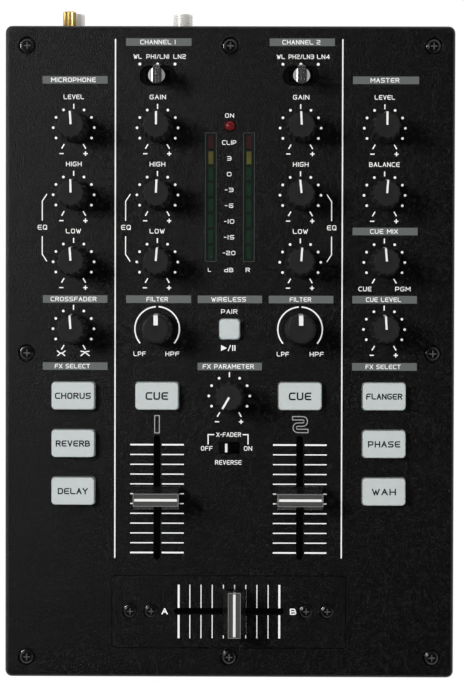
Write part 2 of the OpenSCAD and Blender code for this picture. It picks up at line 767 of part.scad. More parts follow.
module phono_blocks() {
    insert_reach = rear_inset + phono_reach - 0.4;
    color("#d8d8d4") in_case() for (x = phono_xs) translate([x, rear_face - sheet_t, 0]) difference() {
        union() {
            translate([-phono_block_w / 2, -phono_block_l, jack_board_top])
                cube([phono_block_w, phono_block_l, top_z - phono_drop + 6 - jack_board_top]);
            for (i = [0, 1]) translate([0, -touch, top_z - phono_drop - i * phono_pitch])
                rotate([-90, 0, 0]) cylinder(d = phono_d - 1, h = sheet_t + insert_reach + touch);
        }
        for (i = [0, 1]) translate([0, 0, top_z - phono_drop - i * phono_pitch])
            rotate([-90, 0, 0]) translate([0, 0, -4])
                cylinder(d = 3.4, h = 4 + sheet_t + insert_reach + 1);
    }
}

module phono_sleeves() {
    reach = rear_inset + phono_reach;
    color("silver") in_case() for (x = phono_xs, i = [0, 1])
        translate([x, rear_face, top_z - phono_drop - i * phono_pitch]) rotate([-90, 0, 0])
            difference() {
                cylinder(d = phono_d, h = reach);
                translate([0, 0, -1]) cylinder(d = phono_d - 0.9, h = reach + 2);
            }
}

module dc_inlet() {
    inlet_w = 9;
    inlet_h = 11;
    inlet_l = 13;
    color("#151515") in_case() translate([dc_x, rear_face, 0]) {
        difference() {
            union() {
                translate([-inlet_w / 2, -sheet_t - inlet_l, jack_board_top])
                    cube([inlet_w, inlet_l, inlet_h]);
                translate([0, -sheet_t - touch, dc_z]) rotate([-90, 0, 0])
                    cylinder(d = 8, h = sheet_t + touch);
            }
            translate([0, -10, dc_z]) rotate([-90, 0, 0]) cylinder(d = 5.6, h = 12);
        }
        translate([0, -10 - touch, dc_z]) rotate([-90, 0, 0]) cylinder(d = 2, h = 9);
    }
}

module rocker_frame() {
    depth = 14;
    pocket_w = rocker_w - 2.2;
    pocket_h = rocker_h - 3;
    color("#151515") in_case() translate([rocker_x, rear_face, rocker_z]) difference() {
        union() {
            translate([-rocker_w / 2, -depth, -rocker_h / 2]) cube([rocker_w, depth + touch, rocker_h]);
            translate([-rocker_w / 2 - rocker_rim, 0, -rocker_h / 2 - rocker_rim])
                cube([rocker_w + 2 * rocker_rim, 1.2, rocker_h + 2 * rocker_rim]);
        }
        translate([-pocket_w / 2, -depth + 3, -pocket_h / 2]) cube([pocket_w, depth + 3, pocket_h]);
    }
}

module power_rocker() {
    paddle_w = rocker_w - 2.8;
    paddle_h = rocker_h - 5.4;
    paddle_l = 5.5;
    color("#202020") in_case() translate([rocker_x, rear_face - 1, rocker_z]) rotate([rocker_tilt, 0, 0])
        translate([-paddle_w / 2, -paddle_l / 2, -paddle_h / 2]) cube([paddle_w, paddle_l, paddle_h]);
}

module jack_board() {
    board_w = case_w - 2 * jack_board_side_gap;
    notch_r = 4.5;
    color("#1f5a35") in_case() difference() {
        union() {
            translate([-board_w / 2, jack_board_front, jack_board_top - board_t])
                cube([board_w, rear_face - sheet_t - seam_gap - jack_board_front, board_t]);
            translate([-header_w / 2, step_y1 - header_l / 2, jack_board_top - touch])
                cube([header_w, header_l, jack_header_h + touch]);
        }
        translate([0, screw_ys[2], 0]) cylinder(r = notch_r, h = top_z);
    }
}

// Flat cables in the case: one between the boards, one to the crossfader
module ribbon_cables() {
    lower_z = jack_board_top + jack_header_h;
    upper_z = board_top - board_t - header_h;
    cross_under = under_z - 0.1 - track_h;
    color("#8a8f96") in_case() {
        ribbon_step(header_w - 4, step_y0, upper_z, step_y1, lower_z);
        ribbon_hook(header_w / 2 - 2, hook_y0, upper_z, cross_y, cross_under);
    }
}

// A ribbon that drops from one header, runs level to the rear and drops into the next
module ribbon_step(w, y0, z0, y1, z1) {
    t = ribbon_t;
    r = ribbon_bend;
    mid_z = (z0 + z1) / 2;
    rotate([90, 0, 90]) translate([0, 0, -w / 2]) linear_extrude(w) {
        translate([y0 - t / 2, mid_z + r]) square([t, z0 - mid_z - r]);
        translate([y0 + r, mid_z + r]) rotate(180) quarter_ring(r, t);
        translate([y0 + r, mid_z - t / 2]) square([y1 - y0 - 2 * r, t]);
        translate([y1 - r, mid_z - r]) quarter_ring(r, t);
        translate([y1 - t / 2, z1]) square([t, mid_z - r - z1]);
    }
}

// A ribbon that drops from a header, runs level to the front and rises to the crossfader
module ribbon_hook(w, y0, z0, y1, z1) {
    t = ribbon_t;
    low_z = z0 - 6;
    rotate([90, 0, 90]) translate([0, 0, -w / 2]) linear_extrude(w) {
        translate([y0 - t / 2, low_z]) square([t, z0 - low_z]);
        translate([y1 - t / 2, low_z]) square([y0 - y1 + t, t]);
        translate([y1 - t / 2, low_z]) square([t, z1 - low_z]);
    }
}

module quarter_ring(r, t) intersection() {
    difference() {
        circle(r + t / 2);
        circle(r - t / 2);
    }
    square(r + t);
}

// ---- controls ----

module mic_level_knob() color("#2c2c2c") knob_at(mic_x, knob_row(0), turn = 4);
module mic_high_knob() color("#2c2c2c") knob_at(mic_x, knob_row(1), turn = 1);
module mic_low_knob() color("#2c2c2c") knob_at(mic_x, knob_row(2), turn = 4);
module crossfader_curve_knob() color("#2c2c2c") knob_at(mic_x, knob_row(3), turn = 4);
module channel_1_gain_knob() color("#2c2c2c") knob_at(ch1_x, knob_row(0));
module channel_1_high_knob() color("#2c2c2c") knob_at(ch1_x, knob_row(1), turn = -3);
module channel_1_low_knob() color("#2c2c2c") knob_at(ch1_x, knob_row(2), turn = -5);
module filter_1_knob() color("#2c2c2c")
    knob_at(ch1_x, knob_row(3), foot_d = filter_knob_d, crown_d = filter_top_d);
module channel_2_gain_knob() color("#2c2c2c") knob_at(ch2_x, knob_row(0), turn = 2.5);
module channel_2_high_knob() color("#2c2c2c") knob_at(ch2_x, knob_row(1), turn = 6);
module channel_2_low_knob() color("#2c2c2c") knob_at(ch2_x, knob_row(2), turn = -3.5);
module filter_2_knob() color("#2c2c2c")
    knob_at(ch2_x, knob_row(3), foot_d = filter_knob_d, crown_d = filter_top_d);
module master_level_knob() color("#2c2c2c") knob_at(master_x, knob_row(0));
module balance_knob() color("#2c2c2c") knob_at(master_x, knob_row(1), turn = -4);
module cue_mix_knob() color("#2c2c2c") knob_at(master_x, knob_row(2), turn = 5);
module cue_level_knob() color("#2c2c2c") knob_at(master_x, knob_row(3), turn = 3.5);
module effect_amount_knob() color("#2c2c2c") knob_at(mid_x, effect_y, turn = 150);

module channel_1_toggle() color("#d8d8d8") toggle_at(ch1_x);
module channel_2_toggle() color("#d8d8d8") toggle_at(ch2_x);

module chorus_button() color("#c4c8c8") button_at(mic_x, effect_row(0));
module reverb_button() color("#c4c8c8") button_at(mic_x, effect_row(1));
module delay_button() color("#c4c8c8") button_at(mic_x, effect_row(2));
module flanger_button() color("#c4c8c8") button_at(master_x, effect_row(0));
module phase_button() color("#c4c8c8") button_at(master_x, effect_row(1));
module wah_button() color("#c4c8c8") button_at(master_x, effect_row(2));
module cue_1_button() color("#c4c8c8") button_at(ch1_x, effect_y);
module cue_2_button() color("#c4c8c8") button_at(ch2_x, effect_y);
module pair_button() color("#c4c8c8") button_at(mid_x, pair_y, w = pair_w, l = pair_w);

module channel_1_fader() color("#1c1c1c") in_case()
    translate([ch1_x, fader_y, 0]) rotate(90) fader_cap(board_top + track_h);
module channel_2_fader() color("#1c1c1c") in_case()
    translate([ch2_x, fader_y, 0]) rotate(90) fader_cap(board_top + track_h);
module crossfader_cap() color("#1c1c1c") in_case()
    translate([mid_x + cross_rest, cross_y, 0]) fader_cap(under_z - 0.1);

module reverse_slider() {
    side_gap = (reverse_w - reverse_travel - reverse_knob_w) / 2;
    color("#151515") in_case() translate([mid_x - reverse_w / 2 + side_gap, reverse_y, 0]) {
        translate([0, -reverse_l / 2 + slip, under_z])
            cube([reverse_knob_w, reverse_l - 2 * slip, sheet_t - 0.2]);
        translate([0, -(reverse_l - 1) / 2 + slip, board_top + 2.3])
            cube([reverse_knob_w, reverse_l - 1 - 2 * slip, under_z - board_top - 2.3 + touch]);
    }
}

top_cover();
bottom_tray();
cover_screws();
feet();
crossfader_plate();
crossfader_plate_screws();
main_board();
board_screws();
rotary_pots();
channel_fader_tracks();
crossfader_track();
toggle_switches();
tact_switches();
slide_switch_body();
meter_windows();
indicator_leds();
ground_post();
ground_nut();
phone_jacks();
jack_nuts();
phono_blocks();
phono_sleeves();
dc_inlet();
rocker_frame();
power_rocker();
jack_board();
ribbon_cables();
wireless_module();
mic_level_knob();
mic_high_knob();
mic_low_knob();
crossfader_curve_knob();
channel_1_gain_knob();
channel_1_high_knob();
channel_1_low_knob();
filter_1_knob();
channel_2_gain_knob();
channel_2_high_knob();
channel_2_low_knob();
filter_2_knob();
master_level_knob();
balance_knob();
cue_mix_knob();
cue_level_knob();
effect_amount_knob();
channel_1_toggle();
channel_2_toggle();
chorus_button();
reverb_button();
delay_button();
flanger_button();
phase_button();
wah_button();
cue_1_button();
cue_2_button();
pair_button();
channel_1_fader();
channel_2_fader();
crossfader_cap();
reverse_slider();
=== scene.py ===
import json
import math
import bpy
import numpy as np
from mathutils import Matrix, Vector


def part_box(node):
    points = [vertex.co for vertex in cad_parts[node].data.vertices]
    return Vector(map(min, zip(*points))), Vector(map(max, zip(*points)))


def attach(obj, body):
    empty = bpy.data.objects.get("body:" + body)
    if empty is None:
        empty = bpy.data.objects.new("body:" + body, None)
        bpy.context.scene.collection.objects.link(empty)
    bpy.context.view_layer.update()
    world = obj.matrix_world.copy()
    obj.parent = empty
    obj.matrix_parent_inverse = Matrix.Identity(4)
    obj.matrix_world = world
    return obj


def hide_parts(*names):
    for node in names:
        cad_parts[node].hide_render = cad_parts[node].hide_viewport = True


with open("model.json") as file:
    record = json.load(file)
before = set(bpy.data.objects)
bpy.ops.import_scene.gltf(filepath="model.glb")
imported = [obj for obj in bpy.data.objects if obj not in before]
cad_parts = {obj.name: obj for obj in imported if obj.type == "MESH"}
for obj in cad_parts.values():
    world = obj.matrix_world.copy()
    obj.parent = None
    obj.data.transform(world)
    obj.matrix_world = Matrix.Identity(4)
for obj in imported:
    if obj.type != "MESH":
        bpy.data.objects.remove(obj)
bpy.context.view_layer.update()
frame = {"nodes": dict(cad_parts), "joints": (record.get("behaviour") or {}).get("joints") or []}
mm = 0.001                      # everything below is in millimetres until a mesh is made
joints = {joint["child"]: joint for joint in frame["joints"]}


# Lowest and highest corner of a CAD node, in millimetres
def corners(node):
    return [np.array(corner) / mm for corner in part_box(node)]


# Middle of a box across and along, at the height of its top
def topMiddle(low, high):
    return np.array([(low[0] + high[0]) / 2, (low[1] + high[1]) / 2, high[2]])


panelMid = topMiddle(*corners("top_cover"))
topZ = panelMid[2]


def place(name, data):
    placed = bpy.data.objects.new(name, data)
    bpy.context.scene.collection.objects.link(placed)
    return placed


# Where a body's joint is, across and along from the middle of the top
def spot(body):
    return np.array(joints[body]["pos_m"][:2]) / mm - panelMid[:2]


columns = {name: spot(body)[0] for name, body in (
    ("mic", "mic_level"), ("one", "channel_1_gain"), ("two", "channel_2_gain"),
    ("master", "master_level"))}
rows = [spot(body)[1] for body in ("mic_level", "mic_high", "mic_low", "crossfader_curve")]

cameraSettings = {
    "away": (5.555, 16.649, 809.007),           # from the middle of the top
    "turned": (-0.81682, 0.32199, 0.13604),     # degrees about x, y and z
    "focal": 1801.07, "imageHeight": 682, "sensor": 24.0,
}
cameraData = bpy.data.cameras.new("camera")
cameraData.sensor_fit = "VERTICAL"
cameraData.sensor_height = cameraSettings["sensor"]
cameraData.lens = cameraSettings["focal"] * cameraSettings["sensor"] / cameraSettings["imageHeight"]
cameraData.clip_start, cameraData.clip_end = 0.01, 20
camera = place("camera", cameraData)
camera.location = (panelMid + cameraSettings["away"]) * mm
camera.rotation_euler = [math.radians(angle) for angle in cameraSettings["turned"]]
bpy.context.scene.camera = camera
bpy.context.scene.view_settings.view_transform = "Standard"
print("camera placed")


# A socket that takes part in Python sums, each sum adding one Math node
class Wire:
    def __init__(self, graph, socket):
        self.graph, self.socket = graph, socket

    def maths(self, operation, first, second):
        return self.graph.node("ShaderNodeMath", {"operation": operation}, {0: first, 1: second})

    def __add__(self, other):
        return self.maths("ADD", self, other)

    def __mul__(self, other):
        return self.maths("MULTIPLY", self, other)

    def __gt__(self, other):
        return self.maths("GREATER_THAN", self, other)

    __radd__, __rmul__ = __add__, __mul__


# Shader nodes of a material or of the world
class Graph:
    def __init__(self, tree):
        self.tree = tree

    def put(self, socket, value):
        if isinstance(value, Wire):
            self.tree.links.new(value.socket, socket)
        else:
            socket.default_value = value

    # A node of that type, its settings first, then the values or links of its sockets
    def node(self, kind, settings={}, sockets={}, output=0):
        made = self.tree.nodes.new(kind)
        for name, value in settings.items():
            if name == "stops":
                ramp = made.color_ramp
                while len(ramp.elements) < len(value):
                    ramp.elements.new(0.5)
                for element, stop in zip(ramp.elements, value):
                    element.position, element.color = stop
            else:
                setattr(made, name, value)
        for name, value in sockets.items():
            self.put(made.inputs[name], value)
        return Wire(self, made.outputs[output])

    def where(self):
        return self.node("ShaderNodeTexCoord", output="Object")

    def noise(self, scale, detail=2.0, roughness=0.5, stretch=(1, 1, 1)):
        mapped = self.node("ShaderNodeMapping", {}, {"Vector": self.where(), "Scale": stretch})
        return self.node("ShaderNodeTexNoise", {}, {
            "Vector": mapped, "Scale": scale, "Detail": detail, "Roughness": roughness})

    def axis(self, letter):
        return self.node("ShaderNodeSeparateXYZ", {}, {0: self.where()}, letter)

    def ramp(self, value, *stops):
        return self.node("ShaderNodeValToRGB", {"stops": stops}, {0: value})

    def blend(self, mask, first, second):
        return self.node("ShaderNodeMix", {"data_type": "RGBA"}, {0: mask, 6: first, 7: second}, 2)

    def bump(self, height, depth):
        return self.node("ShaderNodeBump", {}, {"Height": height, "Distance": depth})

    # 1 for rays that reach the eye straight, in a gloss or through glass, and 0 for light
    def seenRays(self):
        return sum((self.node("ShaderNodeLightPath", output=name)
                    for name in ("Is Camera Ray", "Is Glossy Ray", "Is Transmission Ray")), 0.0)


# A material, its sockets named with "_" for each space
class Finish(Graph):
    def __init__(self, name, **fixed):
        self.material = bpy.data.materials.new(name)
        self.material.use_nodes = True
        super().__init__(self.material.node_tree)
        self.shader = self.tree.nodes["Principled BSDF"]
        self.dress(**fixed)

    def dress(self, **values):
        for socket, value in values.items():
            self.put(self.shader.inputs[socket.replace("_", " ")], value)
        return self.material


def grey(value):
    return (value, value, value, 1)


def scaled(colour, share):
    return tuple(share * part for part in colour[:3]) + (1,)


# Black powder coat: fine orange peel, mottled over a millimetre or two, pale flecks, broad patches
def powderCoat(name, dark, light, peel=0.00032):
    finish = Finish(name, Specular_IOR_Level=0.5)
    grain = finish.noise(1900, 2, 0.6)
    mottle = finish.ramp(finish.noise(620, 2, 0.7), (0.50, grey(0)), (0.66, grey(1)))
    fleck = finish.ramp(finish.noise(1300, 1), (0.70, grey(0)), (0.78, grey(1)))
    patch = finish.noise(14, 3)
    base = finish.blend(patch * 0.2 + mottle * 0.8, dark, light)
    return finish.dress(
        Base_Color=finish.blend(fleck, base, scaled(light, 5)),
        Roughness=0.35 + grain * 0.08,
        Normal=finish.bump(grain, peel))


# Moulded plastic: a fine grain that dulls the gloss here and there
def moulded(name, colour, roughness, grainScale=2600, depth=0.00001, spread=0.12, **fixed):
    finish = Finish(name, **fixed)
    grain = finish.noise(grainScale, 2)
    worn = finish.noise(260, 3)
    return finish.dress(
        Base_Color=finish.blend(worn * 0.6, colour, scaled(colour, 1.22)),
        Roughness=roughness - spread / 2 + worn * spread,
        Normal=finish.bump(grain, depth))


# Turned or drawn metal: streaks along one axis and a few dull spots
def metal(name, colour, roughness, stretch=(1, 1, 1), depth=0.000004, scale=1800, bare=1.0):
    finish = Finish(name, Metallic=bare)
    streak = finish.noise(scale, 3, 0.6, stretch)
    spots = finish.noise(420, 2)
    return finish.dress(
        Base_Color=finish.blend(spots * 0.5, colour, scaled(colour, 0.8)),
        Roughness=roughness + streak * 0.1,
        Normal=finish.bump(streak, depth))


# Screen-printed ink, a little uneven in cover
def ink(name, colour, roughness=0.45):
    finish = Finish(name, Specular_IOR_Level=0.3)
    cover = finish.noise(2400, 2)
    return finish.dress(
        Base_Color=finish.blend(cover, colour, scaled(colour, 0.86)),
        Roughness=roughness - 0.05 + cover * 0.1,
        Normal=finish.bump(cover, 0.000004))


panelCoat = powderCoat("panel_coat", grey(0.0002), (0.0072, 0.0072, 0.0070, 1))
trayCoat = powderCoat("tray_coat", (0.0035, 0.0035, 0.0037, 1), (0.007, 0.007, 0.0072, 1), 0.0002)
knobPlastic = moulded("knob_plastic", (0.0120, 0.0120, 0.0122, 1), 0.42, Specular_IOR_Level=0.22)
capGloss = moulded("cap_gloss", (0.007, 0.007, 0.0078, 1), 0.27, depth=0.000002, spread=0.06)
capRidge = moulded("cap_ridge", (0.052, 0.052, 0.049, 1), 0.38)
# Pale grey of the band round each fader ridge: painted highlight
capEdgeHighlight = moulded("cap_edge", (0.17, 0.17, 0.165, 1), 0.3)
buttonPlastic = moulded("button_plastic", (0.455, 0.49, 0.485, 1), 0.42, spread=0.08,
                        Subsurface_Weight=0.1, Subsurface_Scale=0.001)
bodyPlastic = moulded("body_plastic", grey(0.010), 0.45)
# Near-black matte plastic for the parts seen down the slots and holes: black plastic, made darker
# still as painted shade
slotShadePlastic = moulded("soot_plastic", grey(0.003), 0.8, Specular_IOR_Level=0.08)
rubber = moulded("foot_rubber", grey(0.018), 0.85, 1400, 0.00004)

# Red below and white above, in the two rows of phono sockets
blocksLow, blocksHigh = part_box("phono_blocks")
sleeveFinish = Finish("socket_plastic", Roughness=0.4)
upperRow = sleeveFinish.axis("Z") > (blocksLow[2] + blocksHigh[2]) / 2
sleevePlastic = sleeveFinish.dress(
    Base_Color=sleeveFinish.blend(upperRow, (0.34, 0.010, 0.012, 1), (0.62, 0.62, 0.59, 1)),
    Normal=sleeveFinish.bump(sleeveFinish.noise(2600), 0.00001))

ribbonVinyl = moulded("ribbon_vinyl", (0.25, 0.27, 0.30, 1), 0.55)
chrome = metal("chrome", grey(0.58), 0.19, (1, 0.1, 0.1), 0.000004, 900, 0.96)
nickel = metal("nickel", (0.90, 0.88, 0.84, 1), 0.30, depth=0.000001, bare=0.45)
gold = metal("gold_plate", (0.86, 0.60, 0.21, 1), 0.16, depth=0.0000002, bare=0.72)
zinc = metal("zinc_plate", (0.52, 0.52, 0.54, 1), 0.32, (1, 6, 1))
blackZinc = metal("black_zinc", (0.09, 0.09, 0.095, 1), 0.24)
rimMetal = metal("screw_rim", grey(0.42), 0.13)
# Paler metal for the cross in each screw's recess: painted glint
recessGlintSteel = metal("worn_recess", (0.13, 0.13, 0.125, 1), 0.3, bare=0.45)
tin = metal("tinned_steel", grey(0.60), 0.28, (5, 1, 1))
whiteInk = ink("white_ink", (0.88, 0.88, 0.87, 1))
greyInk = ink("grey_ink", (0.118, 0.127, 0.125, 1))
outlineInk = ink("outline_ink", grey(0.34))
darkInk = ink("dark_ink", (0.007, 0.011, 0.013, 1))
pointerPaint = ink("pointer_paint", (0.80, 0.80, 0.79, 1), 0.4)
windowEdge = ink("window_edge", (0.045, 0.048, 0.046, 1))


# Solder mask over copper: paler where the tracks run under it
def solderMask(name):
    finish = Finish(name, Coat_Roughness=0.2)
    tracks = finish.node("ShaderNodeTexWave", {"wave_type": "BANDS", "bands_direction": "X"}, {
        "Vector": finish.where(), "Scale": 130, "Distortion": 14, "Detail": 2, "Detail Scale": 0.6})
    shown = finish.ramp(tracks, (0.6, grey(0)), (0.68, grey(1)))
    return finish.dress(
        Base_Color=finish.blend(shown, (0.010, 0.075, 0.032, 1), (0.022, 0.15, 0.06, 1)),
        Roughness=0.32 + finish.noise(700) * 0.14, Normal=finish.bump(shown, 0.00002))


boardMask = solderMask("solder_mask")

# Smoked window of the level meter
windowFinish = Finish("smoked_window", Roughness=0.12, Coat_Weight=0.5, Coat_Roughness=0.05)
mottle = windowFinish.noise(160, 2)
smokedWindow = windowFinish.dress(
    Base_Color=windowFinish.blend(mottle, (0.012, 0.0155, 0.0135, 1), (0.024, 0.029, 0.026, 1)),
    Alpha=0.22 + mottle * 0.1)

# Lamps of the meter and of the power light, coloured by their place along the top
ledSettings = {
    "clip": (0.062, 0.004, 0.010, 1), "hot": (0.16, 0.145, 0.022, 1),
    "low": (0.003, 0.040, 0.015, 1), "power": (0.19, 0.004, 0.006, 1), "pitch": 7.07,
}
meterLow, meterHigh = corners("meter_windows")
clipStart = ((meterLow[1] + meterHigh[1]) / 2 + 3 * ledSettings["pitch"]) * mm
hotStart = clipStart - ledSettings["pitch"] * mm
powerStart = clipStart + 1.3 * ledSettings["pitch"] * mm
ledFinish = Finish("indicator_lamps", Roughness=0.24, Coat_Weight=0.3, Coat_Roughness=0.12)
along = ledFinish.axis("Y")
lamp = ledFinish.blend(along > hotStart, ledSettings["low"], ledSettings["hot"])
lamp = ledFinish.blend(along > clipStart, lamp, ledSettings["clip"])
lamp = ledFinish.blend(along > powerStart, lamp, ledSettings["power"])
cloud = ledFinish.noise(300, 3)
indicatorLamps = ledFinish.dress(
    Base_Color=ledFinish.blend(cloud * 0.7, lamp, (0.01, 0.012, 0.01, 1)),
    Normal=ledFinish.bump(cloud, 0.00002))

nodeFinishes = {
    "top_cover": panelCoat, "crossfader_plate": panelCoat, "bottom_tray": trayCoat,
    "cover_screws": blackZinc, "crossfader_plate_screws": blackZinc, "feet": rubber,
    "main_board": boardMask, "jack_board": boardMask, "board_screws": zinc,
    "rotary_pots": bodyPlastic, "channel_fader_tracks": slotShadePlastic, "toggle_switches": slotShadePlastic,
    "crossfader_track": slotShadePlastic, "tact_switches": bodyPlastic, "slide_switch_body": slotShadePlastic,
    "meter_windows": smokedWindow, "indicator_leds": indicatorLamps, "ground_post": gold,
    "ground_nut": gold, "phone_jacks": nickel, "jack_nuts": nickel,
    "phono_blocks": sleevePlastic, "phono_sleeves": nickel, "dc_inlet": bodyPlastic,
    "rocker_frame": bodyPlastic, "power_rocker": capGloss, "ribbon_cables": ribbonVinyl,
    "wireless_module": tin, "reverse_slider": slotShadePlastic,
}
for name, node in frame["nodes"].items():
    finish = nodeFinishes.get(name, buttonPlastic if name.endswith("_button") else knobPlastic)
    node.data.materials.clear()
    node.data.materials.append(finish)
print("finishes made")


# Quads between neighbouring rows of points; the last row or column joins the first where closed
def gridFaces(rowCount, columnCount, closeRows=False, closeColumns=True, first=0):
    row = np.arange(rowCount if closeRows else rowCount - 1)[:, None]
    column = np.arange(columnCount if closeColumns else columnCount - 1)[None, :]
    nextRow, nextColumn = (row + 1) % rowCount, (column + 1) % columnCount
    quads = np.stack([row * columnCount + column, row * columnCount + nextColumn,
                      nextRow * columnCount + nextColumn, nextRow * columnCount + column], axis=-1)
    return (quads.reshape(-1, 4) + first).tolist()


def joined(shapes):
    points, faces, count = [], [], 0
    for shapePoints, shapeFaces in shapes:
        points.append(shapePoints)
        faces += [[index + count for index in face] for face in shapeFaces]
        count += len(shapePoints)
    return np.vstack(points), faces


def moved(shape, offset=(0, 0, 0), turn=0.0, facing="up"):
    points, faces = shape
    cos, sin = math.cos(math.radians(turn)), math.sin(math.radians(turn))
    points = points @ np.array([[cos, sin, 0], [-sin, cos, 0], [0, 0, 1]])
    if facing != "up":                          # the shape's own height points rear or front
        side = 1 if facing == "rear" else -1
        points = points @ np.array([[1, 0, 0], [0, 0, -side], [0, side, 0]])
    return points + np.array(offset), faces


# Puts a shape into the scene as one piece that rides on a body
def makePiece(name, shape, material, body="chassis", replaces=None, crease=32):
    points, faces = shape
    mesh = bpy.data.meshes.new(name)
    mesh.from_pydata((np.asarray(points) * mm).tolist(), [], faces)
    mesh.materials.append(material)
    mesh.shade_smooth()
    mesh.set_sharp_from_angle(angle=math.radians(crease))
    piece = place(name, mesh)
    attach(piece, body)
    if replaces:
        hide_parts(replaces)


# A turned shape: point = (r cos a, r sin a, z) with r = radius - depth * wave(a), where the wave
# is 0 on a land and 1 in a groove. The profile's rows are (radius, z, depth), pole to pole.
def turned(profile, steps=96, grooves=0, sharpness=1.0):
    profile = np.asarray(profile, float)
    angle = np.arange(steps) * 2 * np.pi / steps
    wave = ((1 - np.cos(grooves * angle)) / 2) ** sharpness
    rings = profile[1:-1]
    radius = rings[:, 0, None] - rings[:, 2, None] * wave
    height = np.repeat(rings[:, 1, None], steps, axis=1)
    body = np.stack([radius * np.cos(angle), radius * np.sin(angle), height], axis=-1)
    points = np.vstack([body.reshape(-1, 3), [[0, 0, profile[0, 1]], [0, 0, profile[-1, 1]]]])
    column, last = np.arange(steps), (len(rings) - 1) * steps
    after = (column + 1) % steps
    low, high = len(points) - 2, len(points) - 1
    faces = gridFaces(len(rings), steps)
    faces += np.stack([np.full(steps, low), after, column], axis=1).tolist()
    faces += np.stack([np.full(steps, high), column + last, after + last], axis=1).tolist()
    return points, faces


# Four long edges joined into a strip, its ends closed unless it runs round
def strip(edges, closed=False):
    count = len(edges[0])
    faces = gridFaces(count, 4, closeRows=closed)
    if not closed:
        end = 4 * (count - 1)
        faces += [[0, 3, 2, 1], [end, end + 1, end + 2, end + 3]]
    return np.stack(edges, axis=1).reshape(-1, 3), faces


# Rings of as many points each, one above the other, closed flat below and above
def loft(rings):
    count, last = len(rings[0]), (len(rings) - 1) * len(rings[0])
    return np.vstack(rings), gridFaces(len(rings), count) + [
        list(range(count))[::-1], list(range(last, last + count))]


inkLow, inkHigh = -0.01, 0.04       # ink reaches from just under the panel's face to just over it


# A slab that follows a flat path: each side is half a width from it along the mitre
def ribbon(path, width, low=inkLow, high=inkHigh, closed=False, reach=0.0):
    path = np.array(path, float)
    ahead = np.roll(path, -1, 0) - path
    ahead /= np.linalg.norm(ahead, axis=1)[:, None] + 1e-12
    if not closed:
        ahead[-1] = ahead[-2]
        path[0] -= ahead[0] * reach
        path[-1] += ahead[-1] * reach
    behind = np.roll(ahead, 1, 0)
    if not closed:
        behind[0] = ahead[0]
    both, straightness = ahead + behind, 1 + (ahead * behind).sum(1)
    mitre = np.stack([-both[:, 1], both[:, 0]], 1) / np.maximum(straightness, 0.5)[:, None]
    left, right = path + mitre * width / 2, path - mitre * width / 2
    return strip([np.column_stack([side, np.full(len(path), level)]) for side, level in (
        (left, high), (right, high), (right, low), (left, low))], closed)


# A flat outline, anticlockwise, given a thickness
def prism(outline, low=inkLow, high=inkHigh):
    return loft([np.column_stack([outline, np.full(len(outline), z)]) for z in (low, high)])


def disc(x, y, diameter, low=inkLow, high=inkHigh, steps=20):
    return prism(arc(x, y, diameter / 2, 0, 360, steps + 1)[:-1], low, high)


def rectangle(x0, y0, x1, y1):
    return [(x0, y0), (x1, y0), (x1, y1), (x0, y1)]


def bar(x0, y0, x1, y1, low=inkLow, high=inkHigh):
    return prism(rectangle(x0, y0, x1, y1), low, high)


# Rounds a path's inner corners: each becomes (1-t)^2 A + 2t(1-t) C + t^2 B, with A and B pulled
# back from the corner C along its two sides
def rounded(path, cut, closed=False, pieces=4):
    path = np.array(path, float)
    count = len(path)
    t = np.linspace(0, 1, pieces + 1)[:, None]
    result = [] if closed else [path[:1]]
    for i in range(0 if closed else 1, count if closed else count - 1):
        corner, before, after = path[i], path[i - 1], path[(i + 1) % count]
        toBefore, toAfter = before - corner, after - corner
        a = corner + toBefore * min(0.5, cut / np.linalg.norm(toBefore))
        b = corner + toAfter * min(0.5, cut / np.linalg.norm(toAfter))
        result.append((1 - t) ** 2 * a + 2 * t * (1 - t) * corner + t ** 2 * b)
    if not closed:
        result.append(path[-1:])
    return np.vstack(result)


def arc(x, y, radius, start, end, steps=40):
    angle = np.radians(np.linspace(start, end, steps))
    return np.stack([x + radius * np.cos(angle), y + radius * np.sin(angle)], 1)


# Squared letters as pen strokes on a field 8 high: pairs of hex digits are points, "/" keeps a
# stroke's corners sharp and "=" closes it
letters = {
    "A": "/0048 /4880 /2363", "B": "/0008 08787404 64848000", "C": "88080080",
    "D": "/0008 08888000", "E": "88080080 /0474", "F": "880800 /0474", "G": "880800808454",
    "H": "/0008 /8088 /0484",
    "I": "/0008", "L": "080080", "M": "/0008 /0853 /53a8 /a8a0", "N": "/0008 /0880 /8088",
    "O": "=00088880", "P": "/0008 08888303", "Q": "=00088880 /5280", "R": "/0008 08888404 /4480",
    "S": "880804848000", "T": "/0888 /4048", "U": "08008088", "V": "/0840 /4088",
    "W": "/0830 /3056 /5670 /70a8", "X": "/0088 /0880", "Y": "/0844 /4488 /4440",
    "d": "/8088 85050080",
    "0": "=00088880", "1": "/0008", "2": "088884040080", "3": "08888000 /1484",
    "4": "/6068 /6802 /0282", "5": "880804848000", "6": "880800808404", "-": "/0444", "/": "/0048",
    " ": "",
}
letterGap, spaceWidth = 4.2, 3.0


# Strokes of a word, centred on x and y; width is the printed width over all
def word(text, x, y, cap, width, weight):
    strokes, pen = [], 0.0
    for letter in text:
        glyph = letters[letter]
        extent = 0.0
        for stroke in glyph.split():
            digits = [int(digit, 16) for digit in stroke.lstrip("/=")]
            path = np.reshape(digits, (-1, 2)).astype(float)
            extent = max(extent, path[:, 0].max())
            strokes.append((path + (pen, 0), stroke[0]))
        pen += (extent if glyph else spaceWidth) + letterGap
    across = max(pen - letterGap, 0.01)
    scale = np.array([(width - weight) / across if across > 1 else 1.0, (cap - weight) / 8])
    placed = []
    for path, kind in strokes:
        path = (path - (across / 2, 4)) * scale + (x, y)
        if kind != "/":
            path = rounded(path, cap * 0.26, closed=kind == "=")
        placed.append((path, kind == "="))
    return placed


